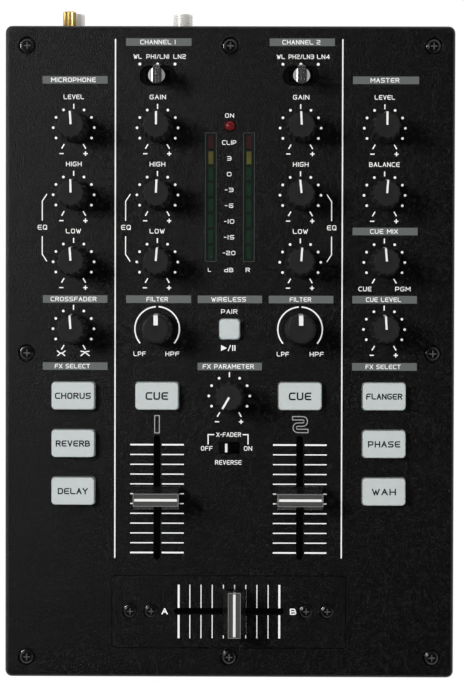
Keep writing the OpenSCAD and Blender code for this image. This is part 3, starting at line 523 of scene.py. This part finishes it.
# A word as slabs of ink; each stroke lies a hair above the one before, so none share a face
def lettering(text, x, y, cap, width, weight, low=inkLow, high=inkHigh):
    return [ribbon(path, weight, low, high + 0.001 * i, closed, reach=weight / 2)
            for i, (path, closed) in enumerate(word(text, x, y, cap, width, weight))]


def onPanel(shapes):
    return moved(joined(shapes), panelMid)


dialSettings = {
    "dotsAt": (-30, 0, 30, 60, 120, 150, 180, 210), "dotRadius": 9.2, "dot": 1.2,
    "topTick": (8.5, 10.7), "endTicks": (240, -60), "endTick": (8.5, 10.8), "tick": 0.55,
    "arcRadius": 10.0, "arcWide": 0.62, "arcGap": 3.6, "arcEnd": 40,
    "signs": (-5.5, 5.3, -11.6), "sign": 1.9, "signWide": 0.5,
}


def towards(degrees):
    return np.array([math.cos(math.radians(degrees)), math.sin(math.radians(degrees))])


# Dots, ticks and signs round a dial
def dialMarks(x, y, signs=True, settings=dialSettings):
    shapes = [disc(*(towards(degrees) * settings["dotRadius"] + (x, y)), settings["dot"])
              for degrees in settings["dotsAt"]]
    for degrees, reach in [(90, settings["topTick"])] + [
            (end, settings["endTick"]) for end in settings["endTicks"]]:
        shapes.append(ribbon([towards(degrees) * r + (x, y) for r in reach], settings["tick"]))
    if signs:
        minus, plus, down = settings["signs"]
        half = settings["sign"] / 2
        for centre, vertical in ((minus, False), (plus, False), (plus, True)):
            across = (0, half) if vertical else (half, 0)
            at = np.array([x + centre, y + down])
            shapes.append(ribbon([at - across, at + across], settings["signWide"],
                                 high=inkHigh + 0.005 * vertical))
    return shapes


def filterMarks(x, y, settings=dialSettings):
    gap, end = settings["arcGap"], settings["arcEnd"]
    return [ribbon(arc(x, y, settings["arcRadius"], start, stop), settings["arcWide"])
            for start, stop in ((180 + end, 90 + gap), (90 - gap, -end))]


dials = []
for column in ("mic", "one", "two", "master"):
    for i, rowY in enumerate(rows):
        if i == 3 and column in ("one", "two"):
            dials += filterMarks(columns[column], rowY)
        else:
            hasWords = (column, i) in (("mic", 3), ("master", 2))   # in place of minus and plus
            dials += dialMarks(columns[column], rowY, signs=not hasWords)
dials += dialMarks(*spot("effect_amount"))
makePiece("dial_marks", onPanel(dials), whiteInk)

# Left end, right end and level of each header bar, its word, and the word's middle and width
headerSettings = {"tall": 3.4, "cap": 2.05, "weight": 0.33}
headers = [
    (-46.8, -17.4, 139.05, "CHANNEL 1", -32.5, 15.85),
    (17.6, 46.8, 139.05, "CHANNEL 2", 31.8, 17.0),
    (-84.2, -55.0, 122.1, "MICROPHONE", -70.35, 20.1), (55.0, 84.6, 122.1, "MASTER", 69.3, 12.9),
    (55.0, 84.2, 54.4, "CUE MIX", 69.1, 12.5), (-84.0, -55.0, 23.8, "CROSSFADER", -70.2, 20.6),
    (-46.6, -17.4, 23.8, "FILTER", -32.6, 9.65), (-14.4, 14.5, 23.8, "WIRELESS", -0.5, 15.6),
    (17.5, 46.5, 23.8, "FILTER", 31.7, 9.65), (55.0, 84.0, 23.8, "CUE LEVEL", 69.0, 15.8),
    (-84.0, -54.9, -6.35, "FX SELECT", -70.7, 15.8),
    (-14.4, 14.5, -6.35, "FX PARAMETER", -0.6, 23.0),
    (55.0, 84.0, -6.35, "FX SELECT", 68.9, 15.75),
]
halfTall = headerSettings["tall"] / 2
makePiece("header_bars", onPanel(
    [bar(x0, y - halfTall, x1, y + halfTall, high=inkHigh - 0.01)
     for x0, x1, y, text, x, width in headers]), greyInk)
makePiece("header_lettering", onPanel(
    [stroke for x0, x1, y, text, x, width in headers
     for stroke in lettering(text, x, y, headerSettings["cap"], width, headerSettings["weight"],
                             0.02, 0.06)]), whiteInk)

# Word, middle, level, cap height, width
levelOne, levelTwo, levelThree = (rowY + 13.8 for rowY in rows[:3])
eqLevel, clipLevel = 56.0, 94.1
labels = [
    ("LEVEL", -70.2, levelOne, 2.05, 9.15), ("GAIN", -32.5, levelOne, 2.05, 7.3),
    ("GAIN", 31.8, levelOne, 2.05, 7.3), ("LEVEL", 69.3, levelOne, 2.05, 9.15),
    ("HIGH", -70.15, levelTwo, 2.05, 7.0), ("HIGH", -32.6, levelTwo, 2.05, 7.0),
    ("HIGH", 31.7, levelTwo, 2.05, 7.0), ("BALANCE", 69.2, levelTwo, 2.05, 13.7),
    ("LOW", -70.3, levelThree, 2.05, 6.8), ("LOW", -32.7, levelThree, 2.05, 6.75),
    ("LOW", 31.6, levelThree, 2.05, 6.75),
    ("WL", -41.6, 132.55, 2.0, 3.6), ("PH1/LN1", -32.55, 132.55, 2.0, 10.15),
    ("LN2", -22.75, 132.55, 2.0, 5.6), ("WL", 22.6, 132.55, 2.0, 3.6),
    ("PH2/LN3", 31.8, 132.55, 2.0, 11.4), ("LN4", 41.7, 132.55, 2.0, 5.75),
    ("EQ", -84.25, eqLevel, 2.2, 4.2), ("EQ", -46.7, eqLevel, 2.2, 4.3),
    ("EQ", 45.65, eqLevel, 2.2, 4.15),
    ("LPF", -40.5, -0.75, 2.05, 5.5), ("HPF", -25.75, -0.75, 2.05, 6.25),
    ("LPF", 23.9, -0.75, 2.05, 5.5), ("HPF", 39.1, -0.75, 2.05, 6.3),
    ("CUE", 60.65, 28.6, 2.05, 5.85), ("PGM", 77.65, 28.6, 2.05, 6.9),
    ("PAIR", -0.25, 18.3, 2.0, 7.3), ("X-FADER", -0.35, -37.0, 2.0, 11.1),
    ("OFF", -10.2, -43.2, 2.0, 5.2), ("ON", 8.35, -43.2, 2.0, 3.7),
    ("REVERSE", -0.5, -49.5, 2.0, 11.9), ("ON", -0.3, 106.2, 1.9, 4.0),
    ("CLIP", -0.45, clipLevel, 2.0, 6.3), ("L", -9.2, 37.0, 1.7, 1.4),
    ("dB", -0.5, 37.0, 1.9, 4.1), ("R", 8.05, 37.0, 1.9, 1.9),
]
meterNumbers = ("3", "0", "-3", "-6", "-10", "-15", "-20")
numberWidths = (1.9, 2.0, 3.8, 3.8, 4.6, 4.6, 5.6)
labels += [(text, -0.4, clipLevel - ledSettings["pitch"] * (i + 1), 1.9, numberWidths[i])
           for i, text in enumerate(meterNumbers)]
labelWeights = {"fine": 0.29, "plain": 0.32, "middleWide": 12}
labelStrokes = []
for text, x, y, cap, width in labels:
    fine = "/" in text or abs(x) < labelWeights["middleWide"]
    labelStrokes += lettering(text, x, y, cap, width, labelWeights["fine" if fine else "plain"])
makePiece("panel_lettering", onPanel(labelStrokes), whiteInk)

# Dividers, brackets and small signs between the words
dividerEnds, dividerWide = (140.2, -92.4), 0.58
signs = []
for x in (-51.5, 50.4):
    signs.append(ribbon([(x, y) for y in dividerEnds], dividerWide))
    signs += [disc(x, y, dividerWide, high=inkHigh + 0.001) for y in dividerEnds]
bracketSettings = {"wide": 0.45, "slopeAcross": 2.1, "slopeAlong": 3.2,
                   "up": (3.0, 14.9), "down": (-4.0, -15.3)}
for x, side in ((-84.3, 1), (-46.85, 1), (45.6, -1)):
    for way in ("up", "down"):
        start, end = (eqLevel + reach for reach in bracketSettings[way])
        bend = end - math.copysign(bracketSettings["slopeAlong"], end - start)
        tip = x + side * bracketSettings["slopeAcross"]
        signs.append(ribbon([(x, start), (x, bend), (tip, end)], bracketSettings["wide"]))
selectorDots = {"level": 129.2, "size": 1.3, "at": (-8.0, 0, 7.8)}
for x in (columns["one"], columns["two"]):
    signs += [disc(x + offset, selectorDots["level"], selectorDots["size"])
              for offset in selectorDots["at"]]
signs += [ribbon([(x, -37.0), (corner, -37.0), (corner, -41.4)], 0.5)
          for x, corner in ((-6.9, -9.6), (5.9, 8.35))]
signs += [prism([(-3.9, 0.6), (-1.2, 1.95), (-3.9, 3.3)]),
          ribbon([(-0.7, 0.6), (0.4, 3.3)], 0.4),
          bar(1.1, 0.7, 1.6, 3.2), bar(2.1, 0.7, 2.6, 3.2)]
curveIcons = (
    ((-75.7, -0.55), (((-1.9, 1.1), (-0.5, 0.05), (0.5, 0.05), (1.9, 1.1)),
                      ((-1.7, -1.2), (-0.4, -0.05), (0.4, -0.05), (1.7, -1.2)))),
    ((-65.0, -0.55), (((-2.0, 0.9), (-0.5, 0.7), (0.4, 0.1), (2.0, -1.2)),
                      ((2.0, 0.9), (0.5, 0.7), (-0.4, 0.1), (-2.0, -1.2)))),
)
for (x, y), strokes in curveIcons:
    signs += [ribbon(np.array(stroke) + (x, y), 0.5, high=inkHigh + 0.002 * i)
              for i, stroke in enumerate(strokes)]
makePiece("panel_signs", onPanel(signs), whiteInk)

# Outlined channel numbers: the edge of a broad stroke, drawn with a thin line
numeralSettings = {"broad": 2.1, "line": 0.4, "tall": 7.8, "wide": 7.0, "low": -36.3, "two": 31.8}
broad, tall, low = (numeralSettings[key] for key in ("broad", "tall", "low"))
oneBox = rectangle(-broad / 2, low, broad / 2, low + tall)
halfWide, inset = numeralSettings["wide"] / 2, broad / 2
twoPath = rounded([(-halfWide, tall - inset), (halfWide - inset, tall - inset),
                   (halfWide - inset, tall / 2), (inset - halfWide, tall / 2 - 0.01),
                   (inset - halfWide, inset), (halfWide, inset)], 1.6, pieces=6)
twoSides, _ = ribbon(twoPath, broad * 0.72, 0, 0)
twoOutline = np.vstack([twoSides[0::4, :2], twoSides[1::4, :2][::-1]])
twoOutline += (numeralSettings["two"], low)
makePiece("channel_numerals", onPanel([
    ribbon(np.array(oneBox) + (columns["one"], 0), numeralSettings["line"], closed=True),
    ribbon(twoOutline, numeralSettings["line"], closed=True)]), outlineInk)

# Scales beside the faders
scaleSettings = {"first": -41.6, "pitch": 4.418, "count": 12, "thin": 0.5, "thick": 0.72,
                 "left": (-12.0, -1.6), "right": (2.2, 12.1)}
scales = []
for x in (columns["one"], columns["two"]):
    for i in range(scaleSettings["count"]):
        y = scaleSettings["first"] - i * scaleSettings["pitch"]
        half = scaleSettings["thick" if i in (0, scaleSettings["count"] - 1) else "thin"] / 2
        scales += [bar(x + a, y - half, x + b, y + half)
                   for a, b in (scaleSettings["left"], scaleSettings["right"])]
crossScale = {"first": -22.7, "pitch": 5.033, "count": 10, "thin": 0.42, "thick": 0.9,
              "rear": (-115.1, -104.65), "front": (-128.8, -118.3)}
for i in range(crossScale["count"]):
    x = crossScale["first"] + i * crossScale["pitch"]
    half = crossScale["thick" if i in (0, crossScale["count"] - 1) else "thin"] / 2
    scales += [bar(x - half, a, x + half, b)
               for a, b in (crossScale["rear"], crossScale["front"])]
for text, x in (("A", -29.0), ("B", 28.8)):
    scales += lettering(text, x, -116.7, 2.8, 2.85, 0.55)
makePiece("fader_scales", onPanel(scales), whiteInk)
print("panel printed")

knobSettings = {
    "foot": 13.7, "crown": 11.7, "tall": 13.92, "lift": 1.0, "edge": 0.55, "dish": 0.14,
    "groove": 0.75, "grooves": 12, "spindle": 3.0, "spindleDeep": 7.7,
    "pointerWide": 0.9, "pointerFrom": 0.02, "pointerDown": 3.0,
}
filterSettings = dict(knobSettings, foot=14.4, crown=12.3, edge=1.0, groove=0.3, grooves=24,
                      pointerWide=1.9, pointerFrom=1.7)


# Half section of a knob, (radius, height, groove depth) from its spindle's end to its crown
def knobProfile(s):
    footR, crownR, tall, edge = s["foot"] / 2, s["crown"] / 2, s["tall"], s["edge"]
    z = np.concatenate([[0.25, 0.7, 1.1, 1.7], np.linspace(3, tall - 2.2, 8),
                        [tall - 1.4, tall - edge]])
    radius = footR + (crownR - footR) * z / tall
    fadeIn, fadeOut = np.clip(z - 0.6, 0, 1), np.clip((z - 0.6 * tall) / (0.4 * tall), 0, 1)
    depth = s["groove"] * fadeIn * (1 - 0.45 * fadeOut)
    a = np.linspace(0, np.pi / 2, 6)[1:]
    rim = np.stack([radius[-1] - edge + edge * np.cos(a), tall - edge + edge * np.sin(a),
                    depth[-1] * (1 - 0.35 * a / a[-1])], 1)
    flatR, dish = rim[-1][0], s["dish"]
    face = [(flatR - 0.6, tall - dish * 0.3, 0.1), (flatR * 0.6, tall - dish * 0.8, 0),
            (flatR * 0.25, tall - dish, 0), (0, tall - dish, 0)]
    spindle = [(0, -s["spindleDeep"], 0), (s["spindle"], -s["spindleDeep"], 0),
               (s["spindle"], 0, 0), (footR - 0.3, 0, 0)]
    return np.vstack([spindle, np.stack([radius, z, depth], 1), rim, face])


# A strip of paint let into the crown: its section is a rectangle carried over the rim and down
def pointer(s):
    profile = knobProfile(s)
    outer = profile[(profile[:, 1] > s["pointerDown"]) & (profile[:, 0] >= s["pointerFrom"])][:, :2]
    path = np.vstack([outer, [[s["pointerFrom"], s["tall"] - s["dish"] * 0.95]]])[::-1]
    way = np.gradient(path, axis=0)
    way /= np.linalg.norm(way, axis=1)[:, None]
    out = np.stack([-way[:, 1], way[:, 0]], 1)
    proud, sunk, half = path + out * 0.07, path - out * 0.35, s["pointerWide"] / 2
    return strip([np.column_stack([np.full(len(path), side), edge]) for side, edge in (
        (-half, proud), (half, proud), (half, sunk), (-half, sunk))])


for body, joint in joints.items():
    node = body + "_knob"
    if node not in frame["nodes"]:
        continue
    settings = filterSettings if body.startswith("filter") else knobSettings
    turn = -sum(joint["range_deg"]) / 2         # the pointer's turn at rest from mid travel
    at = np.append(spot(body) + panelMid[:2], topZ + settings["lift"])
    shape = turned(knobProfile(settings), 144, settings["grooves"], 1.3)
    makePiece(body + "_knob_cap", moved(shape, at, turn), knobPlastic, body, node)
    makePiece(body + "_pointer", moved(pointer(settings), at, turn), pointerPaint, body)
print("knobs made")


# A rectangle with round corners, anticlockwise
def roundRectangle(halfWide, halfLong, radius, pieces=5):
    a = np.linspace(0, np.pi / 2, pieces + 1)
    corner = radius * np.stack([np.cos(a), np.sin(a)], 1)
    turns = (np.array([[c, s], [-s, c]]) for c, s in ((1, 0), (0, 1), (-1, 0), (0, -1)))
    return np.vstack([corner @ turn + (sx * (halfWide - radius), sy * (halfLong - radius))
                      for turn, (sx, sy) in zip(turns, ((1, 1), (-1, 1), (-1, -1), (1, -1)))])


# Stacked round-cornered rectangles, each row (height, half width, half length, corner radius)
def stacked(levels, pieces=5):
    return loft([np.column_stack([roundRectangle(w, l, r, pieces), np.full(4 * (pieces + 1), z)])
                 for z, w, l, r in levels])


toggleSettings = {"neck": 1.7, "wide": 7.5, "ball": 2.2, "bladeUp": 6.5, "rise": 2.4,
                  "ridgePitch": 1.3, "ridge": 0.1, "lean": 1.7, "noseBack": 2.7,
                  "flat": 0.5, "soft": 0.06, "slope": 0.92, "front": 0.84}


# Bat lever from its ball up: a neck, a taper and a crown with a flat middle and bevelled flanks,
# z = tall - slope r (u + sqrt(u^2 + soft^2)) / 2 with u = |x|/r - flat, less its ridges; the whole
# leans forward as it rises, y = -lean (z/tall)^2, and a nose stands behind it
def toggleShape(s, tall):
    a = np.linspace(-np.pi / 2, 0.7, 8)[1:]
    ball = np.stack([s["ball"] * np.cos(a), s["ball"] * np.sin(a)], 1)
    r, shoulder = s["wide"] / 2, tall - s["rise"]
    taper = np.linspace(0, 1, 9)
    lever = np.stack([s["neck"] + (r - s["neck"]) * taper ** 0.7,
                      s["bladeUp"] + (shoulder - 1 - s["bladeUp"]) * taper], 1)
    shares = (1.0, 0.99, 0.97, 0.93, 0.88, 0.8, 0.7, 0.6, 0.5, 0.4, 0.3, 0.2, 0.1)
    crown = [(r * share, shoulder) for share in shares]
    profile = np.vstack([[(0, -s["ball"])], ball, [(s["neck"], s["bladeUp"] - 1)], lever, crown,
                         [(0, shoulder)]])
    points, faces = turned(np.column_stack([profile, 0 * profile[:, 0]]), 96, 1)
    top = points[:, 2] >= shoulder - 0.001
    beyond = np.abs(points[top, 0]) / r - s["flat"]
    ridges = s["ridge"] * (1 - np.cos(2 * np.pi * points[top, 0] / s["ridgePitch"])) / 2
    fall = s["slope"] * r * (beyond + np.sqrt(beyond ** 2 + s["soft"] ** 2)) / 2
    points[top, 2] = tall - fall - ridges * (beyond < 0)
    nose = stacked([(shoulder - 3.5, 0.9, 1.2, 0.8), (shoulder - 0.5, 1.5, 1.9, 0.8),
                    (tall - 1.6, 1.7, 2.1, 0.8), (tall - 0.9, 1.4, 1.8, 0.8)])
    points[:, 1] *= np.where(top & (points[:, 1] < 0), s["front"], 1.0)
    points, faces = joined([(points, faces), moved(nose, (0, s["noseBack"], 0))])
    points[:, 1] -= s["lean"] * (np.clip(points[:, 2], 0, tall) / tall) ** 2
    return points, faces


for body, node in (("source_1", "channel_1_toggle"), ("source_2", "channel_2_toggle")):
    pivot = np.array(joints[body]["pos_m"]) / mm
    tall = corners(node)[1][2] - pivot[2]
    makePiece(node + "_lever", moved(toggleShape(toggleSettings, tall), pivot), chrome, body,
              node, 50)
print("selectors made")

faderSettings = {
    "halfWide": 5.25, "halfLong": 10.5, "lift": 1.0, "hem": 1.2, "waist": 7.7, "tall": 11.0,
    "ridge": 2.8, "rail": 0.62, "sunk": 0.35, "line": 1.12, "corner": 0.5, "draw": 0.4,
    "lip": 0.12, "bow": 1.25, "blade": (2.0, 0.6), "bladeDeep": 5.6,
    "edgeIn": 0.13, "edgeWide": 0.3, "edgeDrop": 0.02, "edgeDeep": 0.3,
}


# Glossy skirt that curves in from its hem to the waist, with the blade under it
def faderSkirt(s):
    t = np.linspace(0, 1, 9)
    z = s["hem"] + (s["waist"] - s["hem"]) * t
    waistWide = s["ridge"] + s["lip"]
    wide = waistWide + (s["halfWide"] - waistWide) * (1 - t) ** s["bow"]
    skirt = [(0.0, s["halfWide"] - 0.15, s["halfLong"] - 0.15, s["corner"]),
             (0.15, s["halfWide"], s["halfLong"], s["corner"])]
    skirt += [(a, b, s["halfLong"] - s["draw"] * c, s["corner"]) for a, b, c in zip(z, wide, t)]
    blade = [(z, *s["blade"], 0.1) for z in (-s["bladeDeep"], 0.05)]
    return joined([stacked(skirt), stacked(blade, 2)])


# Grey ridge: upright walls, a soft edge, a rail round the crown and a sunken field inside it
def faderRidge(s):
    w, l, top = s["ridge"], s["halfLong"] - s["draw"], s["tall"]
    rail = s["rail"]
    return stacked([(s["waist"] - 0.05, w, l, 0.4), (top - 0.3, w, l, 0.4),
                    (top - 0.09, w - 0.09, l - 0.09, 0.36), (top, w - 0.3, l - 0.3, 0.3),
                    (top, w - rail, l - rail, 0.2),
                    (top - s["sunk"], w - rail - 0.1, l - rail - 0.1, 0.15)])


# White line along the crown that runs down both ends
def faderLine(s):
    l, top, half = s["halfLong"] - s["draw"], s["tall"], s["line"] / 2
    foot = s["waist"] + 0.1
    upper = [(-l - 0.04, foot), (-l - 0.04, top - 0.25), (-l + 0.25, top),
             (l - 0.25, top), (l + 0.04, top - 0.25), (l + 0.04, foot)]
    lower = [(-l + 0.3, foot), (-l + 0.3, top - 0.6), (-l + 0.6, top - 0.7),
             (l - 0.6, top - 0.7), (l - 0.3, top - 0.6), (l - 0.3, foot)]
    return strip([np.column_stack([np.full(len(edge), x), edge]) for x, edge in (
        (-half, upper), (half, upper), (half, lower), (-half, lower))])


# Painted highlight along the edge of the ridge: one thin pale band round its top
def faderEdgeHighlight(s):
    w, l = s["ridge"] - s["edgeIn"], s["halfLong"] - s["draw"] - s["edgeIn"]
    return ribbon(rectangle(-w, -l, w, l), s["edgeWide"],
                  s["tall"] - s["edgeDeep"], s["tall"] - s["edgeDrop"], closed=True)


for body, node, turn in (("fader_1", "channel_1_fader", 90), ("fader_2", "channel_2_fader", 90),
                         ("crossfader", "crossfader_cap", 0)):
    at = topMiddle(*corners(node))
    at[2] = topZ + faderSettings["lift"]
    for part, shape, material, replaced, crease in (
            ("skirt", faderSkirt, capGloss, node, 32), ("ridge", faderRidge, capRidge, None, 25),
            ("line", faderLine, pointerPaint, None, 32), ("edge", faderEdgeHighlight, capEdgeHighlight, None, 32)):
        makePiece(node + "_" + part, moved(shape(faderSettings), at, turn), material, body,
                  replaced, crease)
print("fader caps made")

# Word, cap height and width of each button's lettering
buttonWords = {
    "chorus_button": ("CHORUS", 2.8, 16.1), "reverb_button": ("REVERB", 2.8, 15.4),
    "delay_button": ("DELAY", 2.8, 13.5), "flanger_button": ("FLANGER", 2.7, 16.2),
    "phase_button": ("PHASE", 2.8, 14.5), "wah_button": ("WAH", 2.9, 10.8),
    "cue_1_button": ("CUE", 3.5, 10.1), "cue_2_button": ("CUE", 3.5, 10.1),
}
for node, (text, cap, width) in buttonWords.items():
    strokes = joined(lettering(text, 0, 0, cap, width, cap * 0.2, -0.02, 0.02))
    makePiece(node + "_word", moved(strokes, topMiddle(*corners(node))), darkInk, node)

# Raised fin of the slide switch, painted white
low, high = corners("reverse_slider")
finSettings = {"wide": 1.0, "long": 3.8, "tall": 0.9, "fromRight": 1.75}
fin = stacked([(-0.1, 0.6, 2.0, 0.15), (0.5, 0.55, 1.95, 0.15),
               (finSettings["tall"], finSettings["wide"] / 2, finSettings["long"] / 2, 0.12)], 3)
finAt = (high[0] - finSettings["fromRight"], (low[1] + high[1]) / 2, high[2])
makePiece("reverse_fin", moved(fin, finAt), pointerPaint, "crossfader_reverse")

# Dish that each screw is sunk in, and the rounded rim of its head: outer radius of the dish,
# radius of the head, depth of the dish, drop to the rim
dishSettings = {"cover_screws": (4.1, 3.0, 1.15, 0.55),
                "crossfader_plate_screws": (3.7, 2.75, 0.55, 0.2)}


# A closed section of (radius, height), carried round the upright axis
def roundAbout(section, steps=48):
    angle = np.arange(steps) * 2 * np.pi / steps
    rings = [np.column_stack([r * np.cos(angle), r * np.sin(angle), np.full(steps, z)])
             for r, z in section[::-1]]
    return np.vstack(rings), gridFaces(len(rings), steps, closeRows=True)


def dish(outer, deep, wallWide=0.45):
    wall = [(outer - wallWide * math.sin(a), 0.02 - deep * (1 - math.cos(a)))
            for a in np.linspace(0, np.pi / 2, 7)]
    return roundAbout([(outer + 0.3, -0.06), (outer + 0.1, 0.01)] + wall
                      + [(outer - wallWide, -deep - 0.1), (outer + 0.3, -deep - 0.1)])


# Ring of radius head + wide cos a and height wide sin a, closed underneath
def rim(head, drop, wide=0.36):
    return roundAbout([(head + wide * math.cos(a), 0.9 * wide * math.sin(a) - drop - wide)
                       for a in np.linspace(-0.6, np.pi + 0.6, 12)])


# Paler cross at the foot of a head's recess, a painted glint, its arms a little shorter than the
# recess
def recess(headWide, foot=-0.62, face=-0.50, step=0.01):
    reach, half = 0.26 * headWide, 0.05 * headWide
    return joined([bar(-reach, -half, reach, half, foot, face),
                   bar(-half, -reach, half, reach, foot - step, face + step)])


# Lowest and highest corners of the separate bodies in a node, told apart by gaps across and along
def islands(node, gap=3):
    mesh = frame["nodes"][node].data
    points = np.empty(len(mesh.vertices) * 3)
    mesh.vertices.foreach_get("co", points)
    groups = [points.reshape(-1, 3) / mm]
    for axis in (0, 1):
        ordered = [group[np.argsort(group[:, axis])] for group in groups]
        groups = [part for group in ordered
                  for part in np.split(group, np.nonzero(np.diff(group[:, axis]) > gap)[0] + 1)]
    return [(group.min(0), group.max(0)) for group in groups]


for node, (outer, head, deep, drop) in dishSettings.items():
    screws = islands(node)
    spots = [(*topMiddle(low, high)[:2], topZ) for low, high in screws]
    for part, shape, material in (("_dishes", dish(outer, deep), panelCoat),
                                  ("_rims", rim(head, drop), rimMetal)):
        makePiece(node + part, joined([moved(shape, at) for at in spots]), material)
    makePiece(node + "_recesses", joined([moved(recess(high[0] - low[0]), topMiddle(low, high))
                                          for low, high in screws]), recessGlintSteel)

# Segments of the two meter bars, and a thin pale edge round each window
frameSettings = {"wide": 0.32, "inset": 0.25, "windowWide": 5.4, "windowLong": 58.1, "half": 0.05}
segmentSettings = {"wide": 2.2, "long": 5.7, "count": 8, "under": 0.06, "thick": 0.3}
fromMiddle = 8.55
middle = (meterLow + meterHigh) / 2
frames, segments = [], []
for x in (middle[0] - fromMiddle, middle[0] + fromMiddle):
    w, l = (frameSettings[side] / 2 - frameSettings["inset"]
            for side in ("windowWide", "windowLong"))
    frames.append(ribbon(rectangle(x - w, middle[1] - l, x + w, middle[1] + l),
                         frameSettings["wide"], meterHigh[2] - frameSettings["half"],
                         meterHigh[2] + frameSettings["half"], closed=True))
    w, l = segmentSettings["wide"] / 2, segmentSettings["long"] / 2
    top = meterHigh[2] - segmentSettings["under"]
    for i in range(segmentSettings["count"]):
        y = middle[1] + (i - (segmentSettings["count"] - 1) / 2) * ledSettings["pitch"]
        segments.append(bar(x - w, y - l, x + w, y + l, top - segmentSettings["thick"], top))
makePiece("meter_segments", joined(segments), indicatorLamps)
makePiece("meter_window_edges", joined(frames), windowEdge)

# Grip of the ground terminal's nut: eight rounded lobes and a closed end that hides the post's tip
nutLow, nutHigh = corners("ground_nut")
gripSettings = {"radius": 3.05, "groove": 0.85, "lobes": 8, "round": 0.5, "past": 0.1}
radius, groove, edge = (gripSettings[key] for key in ("radius", "groove", "round"))
gripLong = corners("ground_post")[1][1] + gripSettings["past"] - nutLow[1]
gripEdge = [(radius - edge * (1 - math.cos(a)), gripLong - edge * (1 - math.sin(a)), groove)
            for a in np.linspace(0, np.pi / 2, 5)]
grip = turned([(0, 0, 0), (radius - 0.4, 0, 0.2), (radius, 0.35, groove)] + gripEdge
              + [(1.2, gripLong, 0), (0, gripLong, 0)], 128, gripSettings["lobes"])
gripAt = (nutLow + nutHigh) / 2
gripAt[1] = nutLow[1]
makePiece("ground_nut_grip", moved(grip, gripAt, facing="rear"), gold, "ground_terminal_nut",
          "ground_nut", 50)

# Threads on the jacks' collars: radius = core + depth * triangle wave of (turns + length / pitch)
threadSettings = {"core": 4.3, "depth": 0.2, "pitch": 1.0, "chamfer": 0.6, "bore": 4.2}


def threaded(length, s=threadSettings, steps=48, perPitch=6):
    count = int(length / s["pitch"] * perPitch) + 1
    z = np.linspace(0, length, count)[:, None]
    angle = np.arange(steps)[None, :] * 2 * np.pi / steps
    phase = (z / s["pitch"] + angle / (2 * np.pi)) % 1.0
    chamfer = s["core"] + s["depth"] - np.clip(z - (length - s["chamfer"]), 0, None)
    radius = np.minimum(s["core"] + s["depth"] * (1 - np.abs(2 * phase - 1)), chamfer)
    radius = np.vstack([radius, np.full((2, steps), s["bore"])])
    height = np.vstack([z, [[length], [0]]]) + 0 * angle
    points = np.stack([radius * np.cos(angle), radius * np.sin(angle), height], -1).reshape(-1, 3)
    return points, gridFaces(count + 2, steps, closeRows=True)


collarEnds = [corner[1] for corner in corners("phone_jacks")]
threads = []
for low, high in islands("jack_nuts"):
    rear = low[1] > 0
    start, end = (high[1], collarEnds[1]) if rear else (low[1], collarEnds[0])
    at = (low + high) / 2
    at[1] = start
    threads.append(moved(threaded(abs(end - start)), at, facing="rear" if rear else "front"))
makePiece("jack_threads", joined(threads), nickel, crease=60)
print("small pieces made")

# Pale floor under the object, seen as plain white from the camera and in reflections
floorMesh = bpy.data.meshes.new("floor")
floorSettings = {"half": 3.0, "level": -0.0002, "pale": 0.8, "white": 1.04, "whiteShare": 0.94}
half, level = floorSettings["half"], floorSettings["level"]
floorMesh.from_pydata([(x, y, level) for x, y in rectangle(-half, -half, half, half)],
                      [], [(0, 1, 2, 3)])
place("floor", floorMesh)
floorFinish = Finish("floor", Base_Color=grey(floorSettings["pale"]), Roughness=0.9)
glow = floorFinish.node("ShaderNodeEmission", {}, {
    "Color": grey(1), "Strength": floorSettings["white"]})
shader = Wire(floorFinish, floorFinish.shader.outputs[0])
mixed = floorFinish.node("ShaderNodeMixShader", {}, {
    0: floorFinish.seenRays() * floorSettings["whiteShare"], 1: shader, 2: glow})
floorFinish.put(floorFinish.tree.nodes["Material Output"].inputs[0], mixed)
floorMesh.materials.append(floorFinish.material)

# World: white round the horizon for the eye and for reflections, darker overhead, dim as light
world = bpy.data.worlds.new("studio")
bpy.context.scene.world = world
world.use_nodes = True
studio = Graph(world.node_tree)
background = studio.tree.nodes["Background"]
direction = studio.node("ShaderNodeTexCoord", output="Generated")
upward = studio.node("ShaderNodeSeparateXYZ", {}, {0: direction}, "Z")
mirrored = studio.ramp(upward, (0.11, grey(0.85)), (0.2, grey(0.14)), (0.5, grey(0.03)),
                       (0.85, grey(0.012)))
studio.put(background.inputs["Color"], studio.blend(studio.seenRays(), grey(0.1), mirrored))

# A key lamp from the left, a weak one from the right and a wide soft one overhead that leaves no
# gloss, all aimed at the middle of the object
aim = np.array([0, 0, 0.05])
lampSettings = {
    "key": {"at": (-0.76, 0.30, 0.74), "size": 0.36, "watts": 4.45},
    "fill": {"at": (1.1, -0.2, 0.6), "size": 0.3, "watts": 0.15},
    "overhead": {"at": (0, 0, 2.0), "size": 1.1, "watts": 33.0},
}
for name, settings in lampSettings.items():
    data = bpy.data.lights.new(name, "AREA")
    data.energy, data.size = settings["watts"], settings["size"]
    lampObject = place(name, data)
    lampObject.location = settings["at"]
    lampObject.visible_glossy = name != "overhead"
    way = aim - settings["at"]
    pitch = math.acos(-way[2] / np.linalg.norm(way))
    lampObject.rotation_euler = (pitch, 0, math.atan2(way[1], way[0]) - math.pi / 2)
print("stage and lamps set")
